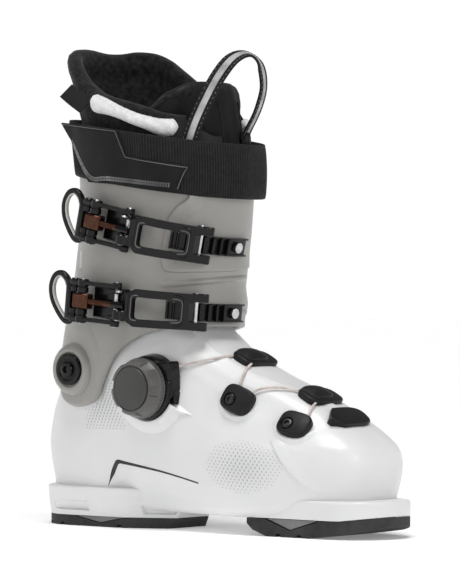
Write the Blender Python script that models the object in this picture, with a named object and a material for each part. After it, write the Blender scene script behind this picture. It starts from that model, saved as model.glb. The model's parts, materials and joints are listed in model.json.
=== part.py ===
"""Right alpine ski boot, built as separate pieces around one set of body sections.

Lengths are in millimetres in the design and become metres in metre(). X runs from the heel to the toe,
+Y is the medial side, +Z is up. The origin is on the flat bottom of the heel tread.
"""
import math

import bmesh
import bpy
import numpy as np
from mathutils import Matrix, Vector

# ---------------------------------------------------------------- driving dimensions (mm)
ORIGIN_X = 60.0            # the origin's distance from the back of the heel
LUG_HALF = 34.5            # half the standard sole width
SOLE_LENGTH = 302.0
HEEL_LUG_TOP = 28.0
HEEL_PAD_TOP = 7.0
HEEL_FRONT = 126.0
HEEL_NOSE = (87.0, 15.0)     # where the heel block starts to taper, and half its width at the front
TOE_LUG_TOP = 25.0
SHELL_WALL = 4.5
SHELL_FLOOR = 16.5
CUFF_WALL = 4.0
CUFF_GAP = 1.4             # running gap between the lower shell and the cuff
FRONT_GAP = 5.2            # room in front of the instep for the cuff to flex
FIT = 0.35                 # gap between pieces that rest on each other
PIVOT = (54.0, 110.0)      # cuff pivot, x and z
RIVET_RADIUS = 4.6
DIAL = (122.0, 98.0)       # lace dial, x and z
DIAL_FACE = -51.5          # y of the dial base's outer face
LACE_RADIUS = 0.8
LACE_LIFT = 1.3            # gap between the lace and the shell
# pieces on the instep: name, centre x and y, half length, half width, height and turn about the normal
GUIDES = (
    ("instep_guide_upper", 178.0, 0.0, 10.0, 17.5, 6.5, 0.0),
    ("instep_guide_lower", 234.0, 1.0, 10.0, 17.5, 6.5, 0.0),
    ("lateral_guide_upper", 192.0, -34.0, 12.0, 9.5, 6.0, 15.0),
    ("lateral_guide_lower", 236.5, -29.0, 11.5, 9.5, 6.0, 15.0),
    ("toe_plate", 256.5, 1.0, 9.5, 20.0, 3.6, 0.0),
)
FLAP_LIFT = CUFF_WALL + 0.8
STRAP_HEIGHT = 36.0
STRAP_SLACK = 5.0          # how far the strap stands off the front of the cuff
STRAP_CENTRE = 256.5       # strap height above the floor at x = 98
STRAP_SLOPE = -0.175
TRIM_HEIGHT = 10.0
LINER_GAP = -1.6           # offset of the liner's outer surface from the cuff's inner one
UPPER_BUCKLE = {"place": (112.0, -57.5, 206.0), "tilt": 13.0, "collar_end": 8.5}
LOWER_BUCKLE = {"place": (103.0, -59.0, 155.0), "tilt": 6.0, "collar_end": 14.5}

# height, back, front, then half widths at the heel, the waist and the ball, then end roundness
SECTIONS = (
    (12.0, 8.0, 272.0, 36.0, 31.0, 43.0, 0.50),
    (20.0, 7.0, 278.0, 40.0, 34.0, 47.0, 0.50),
    (30.0, 7.5, 281.0, 43.0, 37.0, 50.0, 0.50),
    (47.0, 5.0, 283.5, 46.0, 41.0, 53.0, 0.50),
    (58.0, 4.0, 281.0, 47.0, 43.0, 53.0, 0.51),
    (66.0, 4.5, 274.0, 48.0, 44.0, 50.0, 0.54),
    (75.0, 6.0, 262.0, 48.5, 45.0, 46.0, 0.58),
    (84.0, 8.5, 249.0, 49.0, 46.0, 43.0, 0.61),
    (95.0, 13.0, 229.0, 49.5, 46.5, 41.0, 0.66),
    (108.0, 18.0, 198.0, 50.0, 47.0, 40.0, 0.72),
    (120.0, 21.0, 173.0, 50.0, 47.0, 41.0, 0.78),
    (131.0, 23.5, 157.0, 49.5, 47.0, 42.0, 0.82),
    (141.0, 26.0, 145.0, 49.0, 47.0, 44.0, 0.85),
    (158.0, 30.5, 148.5, 48.0, 47.5, 46.0, 0.88),
    (180.0, 34.0, 152.0, 47.0, 47.5, 46.0, 0.90),
    (210.0, 38.0, 156.0, 47.0, 47.5, 46.0, 0.90),
    (240.0, 38.0, 158.0, 47.0, 47.5, 46.0, 0.90),
    (270.0, 35.0, 157.0, 47.0, 47.0, 46.0, 0.90),
    (300.0, 28.0, 152.0, 48.0, 47.0, 45.0, 0.90),
    (340.0, 22.0, 146.0, 49.0, 47.0, 44.0, 0.90),
)
SHELL_LEVELS = (12.0, 20.0, 32.0, 48.0, 60.0, 69.0, 77.0, 85.0, 95.0, 107.0)
RING_POINTS = 36
STATIONS = (0.14, 0.42, 0.74)      # fractions of the section's length where its widths are set
TOE_SWING = 7.0                    # how far the toe leans to the medial side
# lower edge of the cuff: x, height
CUFF_EDGE = (
    (5.0, 112.0), (30.0, 105.0), (41.0, 91.0), (54.0, 86.0), (66.0, 87.5), (75.0, 92.0), (81.0, 104.0),
    (87.0, 115.0), (95.0, 125.0), (104.0, 132.0), (114.0, 137.0), (130.0, 140.5), (160.0, 142.5),
)

WHITE = ((0.80, 0.80, 0.80), 0.35, 0.0)
GREY = ((0.33, 0.32, 0.31), 0.40, 0.0)
BLACK = ((0.02, 0.02, 0.02), 0.40, 0.0)
RUBBER = ((0.03, 0.03, 0.03), 0.80, 0.0)
CORE = ((0.16, 0.16, 0.16), 0.60, 0.0)
COPPER = ((0.28, 0.14, 0.09), 0.35, 1.0)
STEEL = ((0.60, 0.60, 0.60), 0.30, 1.0)
FABRIC = ((0.015, 0.015, 0.015), 0.90, 0.0)
FLEECE = ((0.65, 0.65, 0.65), 0.95, 0.0)
LACE = ((0.55, 0.50, 0.48), 0.50, 0.0)


# ---------------------------------------------------------------- scene helpers
def metre(x, y, z):
    """A design point in millimetres as a point in metres from the origin."""
    return Vector((x - ORIGIN_X, y, z)) * 0.001


TO_ROW = Matrix.Translation(metre(0.0, 0.0, 0.0))


def clear_scene():
    for item in list(bpy.data.objects):
        bpy.data.objects.remove(item, do_unlink=True)
    for mesh in list(bpy.data.meshes):
        bpy.data.meshes.remove(mesh)


def new_collection(name):
    group = bpy.data.collections.new(name)
    bpy.context.scene.collection.children.link(group)
    return group


def make_material(name, look):
    colour, roughness, metallic = look
    material = bpy.data.materials.new(name)
    material.use_nodes = True
    shader = material.node_tree.nodes["Principled BSDF"]
    shader.inputs["Base Color"].default_value = (*colour, 1.0)
    shader.inputs["Roughness"].default_value = roughness
    shader.inputs["Metallic"].default_value = metallic
    return material


def add_part(name, mesh, look, parent=None):
    part = bpy.data.objects.new(name, mesh)
    PARTS.objects.link(part)
    mesh.materials.clear()
    mesh.materials.append(make_material(name, look))
    mesh.shade_smooth()
    mesh.set_sharp_from_angle(angle=math.radians(35.0))
    if parent is not None:
        part.parent = parent
    return part


def add_cutter(name, mesh, parent=None):
    cutter = bpy.data.objects.new(name, mesh)
    CUTTERS.objects.link(cutter)
    cutter.hide_render = True
    cutter.display_type = "WIRE"
    if parent is not None:
        cutter.parent = parent
    return cutter


def combine(part, tool, operation):
    modifier = part.modifiers.new(operation.lower(), "BOOLEAN")
    modifier.operation = operation
    modifier.object = tool
    modifier.solver = "EXACT"


def cut(part, *tools):
    for tool in tools:
        combine(part, tool, "DIFFERENCE")


def join(part, *tools):
    for tool in tools:
        combine(part, tool, "UNION")


def finish_mesh(name, bm):
    bmesh.ops.recalc_face_normals(bm, faces=bm.faces)
    mesh = bpy.data.meshes.new(name)
    bm.to_mesh(mesh)
    bm.free()
    return mesh


# ---------------------------------------------------------------- shapes
def block(name, low, high, bevel=0.0):
    """A box between two corners in local millimetres, with its edges bevelled."""
    bm = bmesh.new()
    bmesh.ops.create_cube(bm, size=1.0)
    size = [(high[k] - low[k]) * 0.001 for k in range(3)]
    centre = [(high[k] + low[k]) * 0.0005 for k in range(3)]
    bmesh.ops.scale(bm, vec=size, verts=bm.verts)
    bmesh.ops.translate(bm, vec=centre, verts=bm.verts)
    if bevel:
        bmesh.ops.bevel(bm, geom=bm.edges[:], offset=bevel * 0.001, segments=1, affect="EDGES")
    return finish_mesh(name, bm)


def cylinder(name, radius, start, end, segments=24, tip=None):
    """A cylinder, or a cone with another tip radius, between two points in local millimetres."""
    start = Vector(start) * 0.001
    end = Vector(end) * 0.001
    axis = end - start
    bm = bmesh.new()
    top = radius if tip is None else tip
    bmesh.ops.create_cone(bm, cap_ends=True, segments=segments, radius1=radius * 0.001, radius2=top * 0.001,
                          depth=axis.length)
    turn = axis.to_track_quat("Z", "Y").to_matrix().to_4x4()
    bmesh.ops.transform(bm, matrix=Matrix.Translation((start + end) / 2.0) @ turn, verts=bm.verts)
    return finish_mesh(name, bm)


def prism(name, outline, low, high, axis="Z"):
    """A closed outline of (a, b) millimetres extruded between two positions along an axis."""
    bm = bmesh.new()
    rings = []
    for level in (low, high):
        ring = []
        for a, b in outline:
            point = {"Z": (a, b, level), "Y": (a, level, b)}[axis]
            ring.append(bm.verts.new(Vector(point) * 0.001))
        rings.append(ring)
    count = len(outline)
    for i in range(count):
        j = (i + 1) % count
        bm.faces.new((rings[0][i], rings[0][j], rings[1][j], rings[1][i]))
    bm.faces.new(rings[0])
    bm.faces.new(rings[1])
    return finish_mesh(name, bm)


def slab(name, outer, inner, wrap=False):
    """A closed sheet between two matching point grids, open at its sides unless it wraps around."""
    bm = bmesh.new()
    grids = [[[bm.verts.new(point) for point in row] for row in grid] for grid in (outer, inner)]
    columns = len(outer)
    rows = len(outer[0])
    steps = columns if wrap else columns - 1
    for i in range(steps):
        j = (i + 1) % columns
        for grid in grids:
            for k in range(rows - 1):
                bm.faces.new((grid[i][k], grid[j][k], grid[j][k + 1], grid[i][k + 1]))
        for k in (0, rows - 1):
            bm.faces.new((grids[0][i][k], grids[0][j][k], grids[1][j][k], grids[1][i][k]))
    if not wrap:
        for i in (0, columns - 1):
            for k in range(rows - 1):
                bm.faces.new((grids[0][i][k], grids[0][i][k + 1], grids[1][i][k + 1], grids[1][i][k]))
    return finish_mesh(name, bm)


def loft(name, rings):
    """A closed body through a row of matching rings, with a flat cap on its first and last ring."""
    bm = bmesh.new()
    loops = [[bm.verts.new(point) for point in ring] for ring in rings]
    count = len(rings[0])
    for low, high in zip(loops, loops[1:]):
        for i in range(count):
            j = (i + 1) % count
            bm.faces.new((low[i], low[j], high[j], high[i]))
    bm.faces.new(loops[0])
    bm.faces.new(loops[-1])
    return finish_mesh(name, bm)


def tube(name, points, radius, cyclic=False):
    """A round tube along points in metres, as a closed mesh."""
    data = bpy.data.curves.new(name, "CURVE")
    data.dimensions = "3D"
    data.bevel_depth = radius * 0.001
    data.bevel_resolution = 2
    data.use_fill_caps = True
    spline = data.splines.new("POLY")
    spline.points.add(len(points) - 1)
    spline.use_cyclic_u = cyclic
    for slot, point in zip(spline.points, points):
        slot.co = (*point, 1.0)
    guide = bpy.data.objects.new(name + "_path", data)
    CUTTERS.objects.link(guide)
    bpy.context.view_layer.update()
    evaluated = guide.evaluated_get(bpy.context.evaluated_depsgraph_get())
    mesh = bpy.data.meshes.new_from_object(evaluated)
    bpy.data.objects.remove(guide)
    bm = bmesh.new()
    bm.from_mesh(mesh)
    bpy.data.meshes.remove(mesh)
    bmesh.ops.remove_doubles(bm, verts=bm.verts, dist=1e-6)
    return finish_mesh(name, bm)


def smooth_path(points, steps):
    """A Catmull-Rom curve through the points, with the given steps between each pair."""
    points = [Vector(p) for p in points]
    padded = [2 * points[0] - points[1], *points, 2 * points[-1] - points[-2]]
    path = []
    for a, b, c, d in zip(padded, padded[1:], padded[2:], padded[3:]):
        for k in range(steps):
            t = k / steps
            path.append(0.5 * (2 * b + (c - a) * t + (2 * a - 5 * b + 4 * c - d) * t ** 2
                               + (3 * b - a - 3 * c + d) * t ** 3))
    path.append(points[-1])
    return path


# ---------------------------------------------------------------- the boot's sections
def ease(t):
    t = min(max(t, 0.0), 1.0)
    return t * t * (3.0 - 2.0 * t)


def blend_table(table, position):
    """Values from a table at a position, along a smooth curve through its rows."""
    keys = [row[0] for row in table]
    position = min(max(position, keys[0]), keys[-1])
    k = min(max(int(np.searchsorted(keys, position)) - 1, 0), len(keys) - 2)
    span = keys[k + 1] - keys[k]
    t = (position - keys[k]) / span
    values = []
    for column in range(1, len(table[0])):
        start = table[k][column]
        end = table[k + 1][column]
        before = (end - table[k - 1][column]) / (keys[k + 1] - keys[k - 1]) if k > 0 else (end - start) / span
        last = k + 2 < len(keys)
        after = (table[k + 2][column] - start) / (keys[k + 2] - keys[k]) if last else (end - start) / span
        values.append((2 * t ** 3 - 3 * t ** 2 + 1) * start + (t ** 3 - 2 * t ** 2 + t) * span * before
                      + (3 * t ** 2 - 2 * t ** 3) * end + (t ** 3 - t ** 2) * span * after)
    return values


def outline(angle, z, offset=0.0, front=0.0):
    """The section's edge at a height: x and y for an angle, 0 at the front, 90 lateral, 180 at the back."""
    back, toe, heel, waist, ball, power = blend_table(SECTIONS, z)
    back -= offset
    toe += offset + front
    turn = math.radians(angle)
    fraction = 0.5 + 0.5 * math.cos(turn)
    if fraction < STATIONS[1]:
        width = heel + (waist - heel) * ease((fraction - STATIONS[0]) / (STATIONS[1] - STATIONS[0]))
    else:
        width = waist + (ball - waist) * ease((fraction - STATIONS[1]) / (STATIONS[2] - STATIONS[1]))
    swing = TOE_SWING * ease((fraction - 0.45) / 0.55) * ease((110.0 - z) / 40.0)
    side = math.copysign(abs(math.sin(turn)) ** power, math.sin(turn))
    return back + (toe - back) * fraction, swing - (width + offset) * side


def edge_height(x, table):
    return float(np.interp(x, [p[0] for p in table], [p[1] for p in table]))


def shell_top(x):
    return 118.0 + 25.0 * ease((x - 70.0) / 40.0)


def shell_ring(share, offset):
    """A ring of the shell between its last level ring and its top edge."""
    ring = []
    for k in range(RING_POINTS):
        angle = 360.0 * k / RING_POINTS
        low = SHELL_LEVELS[-1]
        z = low + (shell_top(outline(angle, 122.0)[0]) - low) * share
        ring.append(metre(*outline(angle, z, offset), z))
    return ring


def inside(x, y, z):
    """True where a point is inside the body's section at its height."""
    back, toe = blend_table(SECTIONS, z)[:2]
    if not back < x < toe:
        return False
    angle = math.degrees(math.acos(2.0 * (x - back) / (toe - back) - 1.0))
    lateral = outline(angle, z)[1]
    medial = outline(-angle, z)[1]
    return lateral < y < medial


def lateral_side(x, z, offset):
    """The y of the lateral side at an x and a height, moved outwards by an offset."""
    back, toe = blend_table(SECTIONS, z)[:2]
    share = (x - back + offset) / (toe - back + 2.0 * offset)
    return outline(math.degrees(math.acos(2.0 * share - 1.0)), z, offset)[1]


def surface_height(x, y):
    """Height of the lower shell's upper surface over a point of the plan."""
    low, high = 50.0, 141.0
    for _ in range(24):
        middle = (low + high) / 2.0
        if inside(x, y, middle):
            low = middle
        else:
            high = middle
    return low


def surface_frame(x, y, spin=0.0):
    """Placement on the lower shell's upper surface: local Z is its normal and local X points to the toe."""
    step = 2.0
    slope_x = (surface_height(x + step, y) - surface_height(x - step, y)) / (2 * step)
    slope_y = (surface_height(x, y + step) - surface_height(x, y - step)) / (2 * step)
    normal = Vector((-slope_x, -slope_y, 1.0)).normalized()
    forward = Vector((1.0, 0.0, slope_x)).normalized()
    side = normal.cross(forward)
    turn = Matrix((forward, side, normal)).transposed().to_4x4()
    place = Matrix.Translation(metre(x, y, surface_height(x, y)))
    return place @ turn @ Matrix.Rotation(math.radians(spin), 4, "Z")


def section_ring(z, offset, count=RING_POINTS):
    return [metre(*outline(360.0 * i / count, z, offset), z) for i in range(count)]


# ---------------------------------------------------------------- lower shell and sole
def lug_outline(low, high, round_back, round_front, half=LUG_HALF, nose=None):
    """Plan outline of a sole block, with a half-round back or front where asked, or a tapered front."""
    points = []
    for end, is_round, start in ((high, round_front, -90.0), (low, round_back, 90.0)):
        if is_round:
            centre = end - math.copysign(half, end - (low + high) / 2.0)
            for k in range(13):
                turn = math.radians(start + 180.0 * k / 12)
                points.append((centre + half * math.cos(turn), half * math.sin(turn)))
        elif nose:
            shoulder, tip_half = nose
            points.extend(((shoulder, -half), (end, -tip_half), (end, tip_half), (shoulder, half)))
        else:
            side = math.copysign(1.0, end - (low + high) / 2.0)
            points.extend(((end, -side * half), (end, side * half)))
    return points


def sole_block(name, plan, profile):
    """The mesh of a block that has one outline from above and another from the side."""
    body = add_cutter(name + "_plan", prism(name + "_plan", plan, -5.0, 40.0))
    side = add_cutter(name + "_side", prism(name + "_side", profile, -50.0, 50.0, axis="Y"))
    combine(body, side, "INTERSECT")
    bpy.context.view_layer.update()
    mesh = bpy.data.meshes.new_from_object(body.evaluated_get(bpy.context.evaluated_depsgraph_get()))
    bpy.data.objects.remove(body)
    bpy.data.objects.remove(side)
    mesh.transform(TO_ROW)
    return mesh


def grooves(name, positions, width, depth, base=0.0):
    """Cutters for the tread's cross grooves."""
    tools = []
    for number, x in enumerate(positions):
        mesh = block(name, (x - width / 2, -60.0, base - 5.0), (x + width / 2, 60.0, base + depth))
        mesh.transform(TO_ROW)
        tools.append(add_cutter(f"{name}_{number}", mesh))
    return tools


def build_sole():
    heel_plan = lug_outline(0.0, HEEL_FRONT, True, False, nose=HEEL_NOSE)
    toe_plan = lug_outline(199.0, SOLE_LENGTH, False, True)
    heel_lug = add_cutter("heel_lug", sole_block("heel_lug", heel_plan, (
        (-5.0, HEEL_PAD_TOP + FIT), (-5.0, HEEL_LUG_TOP), (HEEL_FRONT + 5.0, HEEL_LUG_TOP),
        (HEEL_FRONT + 2.0, 16.0), (HEEL_FRONT - 4.0, HEEL_PAD_TOP + FIT))))
    toe_lug = add_cutter("toe_lug", sole_block("toe_lug", toe_plan, (
        (190.0, 12.0 + FIT), (190.0, TOE_LUG_TOP), (310.0, TOE_LUG_TOP), (310.0, 16.0 + FIT),
        (276.0, 12.0 + FIT))))
    heel_pad = add_part("heel_sole_pad", sole_block("heel_pad", heel_plan, (
        (2.0, 0.0), (-5.0, 2.0), (-5.0, HEEL_PAD_TOP), (HEEL_FRONT - 4.0, HEEL_PAD_TOP),
        (HEEL_FRONT - 9.0, 0.0))), RUBBER)
    toe_pad = add_part("toe_sole_pad", sole_block("toe_pad", toe_plan, (
        (190.0, 12.0), (276.0, 12.0), (310.0, 16.0), (310.0, 11.0), (282.0, 4.0), (252.0, 0.0), (216.0, 0.0),
        (204.0, 4.0), (198.0, 9.0))), RUBBER)
    for name, pad, low, high, top, apex in (("heel", heel_pad, 40.0, 90.0, HEEL_PAD_TOP, (66.0, 2.4)),
                                            ("toe", toe_pad, 213.0, 262.0, 12.0, (236.0, 4.5))):
        room = prism(name + "_room", ((low, top), (low, top + 2.0), (high, top + 2.0), (high, top), apex),
                     -60.0, 60.0, axis="Y")
        room.transform(TO_ROW)
        cut(pad, add_cutter(name + "_core_room", room))
        core = prism(name + "_core", ((low + 3.0, top), (high - 3.0, top), (apex[0], apex[1] + 0.6)),
                     -LUG_HALF + 0.5, LUG_HALF - 0.5, axis="Y")
        core.transform(TO_ROW)
        add_part(name + "_sole_core", core, CORE)
    cut(heel_pad, *grooves("heel_tread", (14.0, 30.0, 84.0), 4.0, 2.0))
    cut(toe_pad, *grooves("toe_tread", (226.0, 244.0), 4.0, 2.0))
    return heel_lug, toe_lug


def build_sole_screws(shell, pads):
    """Screws that hold each sole pad from below, in counterbores."""
    for name, pad, x, base in (("heel", pads[0], 22.0, 0.0), ("toe", pads[1], 274.0, 3.0)):
        for side, y in (("lateral", -15.0), ("medial", 15.0)):
            shift = Matrix.Translation(metre(x, y, 0.0))
            head = cylinder("head", 4.2, (0, 0, base + 1.5), (0, 0, base + 4.5))
            shank = cylinder("shank", 2.0, (0, 0, base + 4.0), (0, 0, base + 12.5), 12)
            socket = cylinder("socket", 1.8, (0, 0, base), (0, 0, base + 3.0), 6)
            wide = cylinder("wide", 4.7, (0, 0, -2), (0, 0, base + 4.9))
            bore = cylinder("bore", 2.4, (0, 0, base), (0, 0, base + 13.0), 12)
            for mesh in (head, shank, socket, wide, bore):
                mesh.transform(shift)
            screw = add_part(f"{name}_sole_screw_{side}", head, STEEL)
            join(screw, add_cutter(f"{name}_{side}_shank", shank))
            cut(screw, add_cutter(f"{name}_{side}_socket", socket))
            recess = add_cutter(f"{name}_{side}_recess", wide)
            hole = add_cutter(f"{name}_{side}_bore", bore)
            cut(pad, recess, hole)
            cut(shell, hole)


def build_lower_shell(heel_lug, toe_lug):
    """A hollow lower shell with a floor, an open throat and both sole blocks."""
    rings = shell_outside(0.0)
    rings.extend(shell_ring(share, -SHELL_WALL) for share in (1.0, 0.5))
    for z in (102.0, 90.0, 80.0, 71.0, 62.0, 50.0, 32.0, SHELL_FLOOR):
        lift = 4.0 * ease((z - 50.0) / 20.0) * ease((112.0 - z) / 15.0)
        ring = section_ring(z + lift, -SHELL_WALL)
        rings.append([Vector((p.x, p.y, z * 0.001)) for p in ring])
    shell = add_part("lower_shell", loft("lower_shell", rings), WHITE)
    join(shell, heel_lug, toe_lug)
    floor = loft("floor_room", [section_ring(z, -SHELL_WALL) for z in (SHELL_FLOOR, 22.0, 30.0)])
    cut(shell, add_cutter("floor_room", floor))
    cut(shell, add_cutter("pivot_bore", pivot_cylinder("pivot_bore", RIVET_RADIUS + FIT, -80.0, 80.0)))
    return shell


def shell_outside(offset):
    """Rings of the shell's outer surface, from its underside to its top edge, moved outwards by an offset."""
    rings = [section_ring(z, offset) for z in SHELL_LEVELS]
    rings.extend(shell_ring(share, offset) for share in (0.33, 0.66, 1.0))
    return rings


def pivot_cylinder(name, radius, near, far, segments=24, tip=None):
    """A cylinder on the cuff's pivot axis between two y positions."""
    mesh = cylinder(name, radius, (PIVOT[0], near, PIVOT[1]), (PIVOT[0], far, PIVOT[1]), segments, tip)
    mesh.transform(TO_ROW)
    return mesh


def build_boot_board():
    rings = [section_ring(z, -SHELL_WALL - FIT - 0.4) for z in (SHELL_FLOOR + FIT, 24.0)]
    add_part("boot_board", loft("boot_board", rings), CORE)


def build_liner_foot():
    """The foot part of the liner: a soft cup with an open top."""
    rings = []
    for z in (24.5, 34.0, 50.0, 62.0, 72.0, 84.0, 98.0, 110.0):
        lift = 5.0 * ease((z - 46.0) / 16.0) * ease((118.0 - z) / 12.0)
        rings.append(section_ring(z + lift, -SHELL_WALL - 1.2, 26))
        rings[-1] = [Vector((p.x, p.y, z * 0.001)) for p in rings[-1]]
    for z in (110.0, 98.0, 84.0, 70.0, 58.0, 46.0, 31.0):
        lift = 13.0 * ease((z - 30.0) / 20.0) * ease((122.0 - z) / 20.0)
        ring = section_ring(z + lift, -SHELL_WALL - 7.0, 26)
        rings.append([Vector((p.x, p.y, z * 0.001)) for p in ring])
    add_part("liner_foot", loft("liner_foot", rings), FABRIC)


# ---------------------------------------------------------------- lace closure
def lace_route():
    """Points of the taut lace over the instep, from the dial's port to the lower lateral guide."""
    runs = (
        ((175.0, -8.0), (181.0, -8.0), 1),
        ((184.5, -12.0), (190.0, -29.0), 3),
        ((192.5, -34.0), (198.0, -33.0), 1),
        ((202.0, -29.0), (228.0, -11.0), 4),
        ((231.0, -7.0), (237.0, -7.0), 1),
        ((240.0, -12.0), (242.5, -26.0), 3),
        ((242.0, -31.0), (241.0, -33.5), 1),
    )
    route = [metre(137.0, -49.0, 111.5)]
    for k in range(5):
        x = 143.0 + 6.5 * k
        z = 113.0 + 1.6 * k
        route.append(metre(x, lateral_side(x, z, LACE_RADIUS + LACE_LIFT), z))
    for start, end, steps in runs:
        for k in range(steps + 1):
            x = start[0] + (end[0] - start[0]) * k / steps
            y = start[1] + (end[1] - start[1]) * k / steps
            frame = surface_frame(x, y)
            route.append(frame.translation + frame.col[2].to_3d() * (LACE_RADIUS + LACE_LIFT) * 0.001)
    return route


def build_guides(clearance, channel):
    """The saddles on the instep and the lateral side that the lace runs through, and the toe plate."""
    for name, x, y, half_x, half_y, height, spin in GUIDES:
        frame = surface_frame(x, y, spin)
        mesh = block(name, (-half_x, -half_y, -12.0), (half_x, half_y, height), 2.0)
        mesh.transform(frame)
        guide = add_part(name, mesh, BLACK)
        cut(guide, clearance)
        if name != "toe_plate":
            cut(guide, channel)
        if "lateral" in name:
            seat = cylinder(name + "_seat", 4.3, (-4, -2, 3.4), (-4, -2, 12))
            head = cylinder(name + "_screw", 3.8, (-4, -2, 3.8), (-4, -2, 7.0))
            socket = cylinder(name + "_socket", 1.8, (-4, -2, 5.5), (-4, -2, 9.0), 6)
            for tool in (seat, head, socket):
                tool.transform(frame)
            cut(guide, add_cutter(name + "_seat", seat))
            screw = add_part(name + "_screw", head, STEEL)
            cut(screw, add_cutter(name + "_socket", socket))


def dial_disc(name, radius, near, far, segments=32, tip=None):
    mesh = cylinder(name, radius, (DIAL[0], near, DIAL[1]), (DIAL[0], far, DIAL[1]), segments, tip)
    mesh.transform(TO_ROW)
    return mesh


def build_dial(clearance, channel):
    """The dial: a base on the shell with its lace port, the spool inside it, the grip ring and the cap."""
    base = add_part("dial_base", dial_disc("dial_base", 22.5, -34.0, DIAL_FACE, tip=21.0), BLACK)
    port = block("dial_port", (130.0, -52.0, 103.0), (142.0, -38.0, 116.0), 1.5)
    port.transform(TO_ROW)
    join(base, add_cutter("dial_port", port))
    cut(base, clearance, channel, add_cutter("spool_room", dial_disc("spool_room", 11.4, -46.5, -60.0)))
    add_part("dial_spool", dial_disc("dial_spool", 10.8, -46.9, DIAL_FACE - 0.1, 24), CORE)
    knob = add_part("dial_knob", dial_disc("dial_knob", 20.5, DIAL_FACE - 0.5, -65.0, 36, tip=18.5), CORE)
    cut(knob, add_cutter("cap_room", dial_disc("cap_room", 12.4, DIAL_FACE - 2.5, -70.0)))
    add_part("dial_cap", dial_disc("dial_cap", 12.0, DIAL_FACE - 2.9, -66.0, 32, tip=10.5), BLACK)


# ---------------------------------------------------------------- cuff
def cuff_point(angle, z, offset):
    """A point on the cuff's inner surface, moved outwards by an offset."""
    front = FRONT_GAP * ease((170.0 - z) / 20.0)
    return metre(*outline(angle, z, CUFF_GAP + offset, front), z)


def meet_edge(angle, edge):
    """The height where the section's edge at an angle meets an edge given as a height for each x."""
    low, high = 80.0, 345.0
    for _ in range(24):
        middle = (low + high) / 2.0
        if middle < edge(outline(angle, middle)[0]):
            low = middle
        else:
            high = middle
    return low


def cuff_grid(angles, low, high, rows, offset):
    """A grid of points around the cuff between two height functions of x."""
    grid = []
    for angle in angles:
        bottom = meet_edge(angle, low)
        top = meet_edge(angle, high)
        drop = offset(angle) if callable(offset) else offset
        shares = [(k / (rows - 1)) ** 1.5 for k in range(rows)]
        grid.append([cuff_point(angle, bottom + (top - bottom) * share, drop) for share in shares])
    return grid


def strap_middle(x):
    return STRAP_CENTRE + STRAP_SLOPE * (x - 98.0)


def cuff_low(x):
    return edge_height(x, CUFF_EDGE)


def cuff_high(x):
    return strap_middle(x) + 8.0


def flap_rise(angle):
    """The lateral flap rises near its edge to lie over the medial one."""
    return FLAP_LIFT * ease((65.5 - angle) / 4.0)


def build_cuff():
    angles = [50.0, 56.0, 61.5, 65.5, *(72.0 + 348.0 * k / 40 for k in range(41))]
    outer = cuff_grid(angles, cuff_low, cuff_high, 8, lambda a: CUFF_WALL + flap_rise(a))
    inner = cuff_grid(angles, cuff_low, cuff_high, 8, flap_rise)
    cuff = add_part("cuff_shell", slab("cuff_shell", outer, inner), GREY)
    for side, sign in (("lateral", -1.0), ("medial", 1.0)):
        bore = pivot_cylinder("bore", RIVET_RADIUS + FIT, sign * 35.0, sign * 70.0)
        seat = pivot_cylinder("seat", 16.0, sign * 49.8, sign * 54.0, 28, tip=12.5)
        head = pivot_cylinder("head", 8.5, sign * 54.4, sign * 57.4, tip=7.8)
        shank = pivot_cylinder("shank", RIVET_RADIUS, sign * 40.8, sign * 55.0)
        socket = pivot_cylinder("socket", 2.6, sign * 55.5, sign * 60.0, 6)
        join(cuff, add_cutter(f"pivot_boss_{side}", seat))
        cut(cuff, add_cutter(f"cuff_bore_{side}", bore))
        rivet = add_part(f"cuff_rivet_{side}", head, BLACK)
        join(rivet, add_cutter(f"rivet_shank_{side}", shank))
        cut(rivet, add_cutter(f"rivet_socket_{side}", socket))
    spine = [168.0 + 24.0 * k / 6 for k in range(7)]
    grids = [cuff_grid(spine, lambda x: 118.0, lambda x: 168.0, 5, CUFF_WALL + off) for off in (3.2, 1.3)]
    add_part("cuff_spine", slab("cuff_spine", *grids), BLACK)
    return cuff


def build_cuff_room():
    """The space of the cuff and all it encloses, which the buckles' parts keep clear of."""
    rings = []
    for k in range(18):
        rings.append([cuff_point(6.0 * i, 130.0 + 6.0 * k, CUFF_WALL + 0.9) for i in range(60)])
    return add_cutter("cuff_room", loft("cuff_room", rings))


def build_strap():
    """The webbing strap around the top of the cuff, and its stitched end on the lateral side."""
    half = STRAP_HEIGHT / 2.0
    around = [6.0 * k for k in range(60)]

    def rise(angle):
        slack = STRAP_SLACK * ease((math.cos(math.radians(angle + 40.0)) - 0.2) / 0.6)
        return slack + FLAP_LIFT * ease((78.0 - angle) / 10.0) * ease((angle - 36.0) / 10.0)

    grids = [cuff_grid(around, lambda x: strap_middle(x) - half, lambda x: strap_middle(x) + half, 2,
                       lambda angle, off=off: CUFF_WALL + off + rise(angle)) for off in (3.5, 1.0)]
    add_part("power_strap", slab("power_strap", *grids, wrap=True), FABRIC)
    patch = [72.0 + 78.0 * k / 10 for k in range(11)]
    grids = [cuff_grid(patch, lambda x: strap_middle(x) - 11.0, lambda x: strap_middle(x) + 15.0, 2,
                       lambda angle, off=off: CUFF_WALL + off + rise(angle)) for off in (5.9, 4.1)]
    add_part("strap_end", slab("strap_end", *grids), FABRIC)


def liner_low(x):
    """The liner's lower edge, which stays above the lower shell when the cuff flexes."""
    return 143.0 + 11.0 * ease((x - 60.0) / 80.0)


def liner_top(x):
    return 288.0 + 46.0 * ease((135.0 - x) / 75.0)


def trim_low(x):
    return 275.0 + 0.28 * (140.0 - x)


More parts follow.
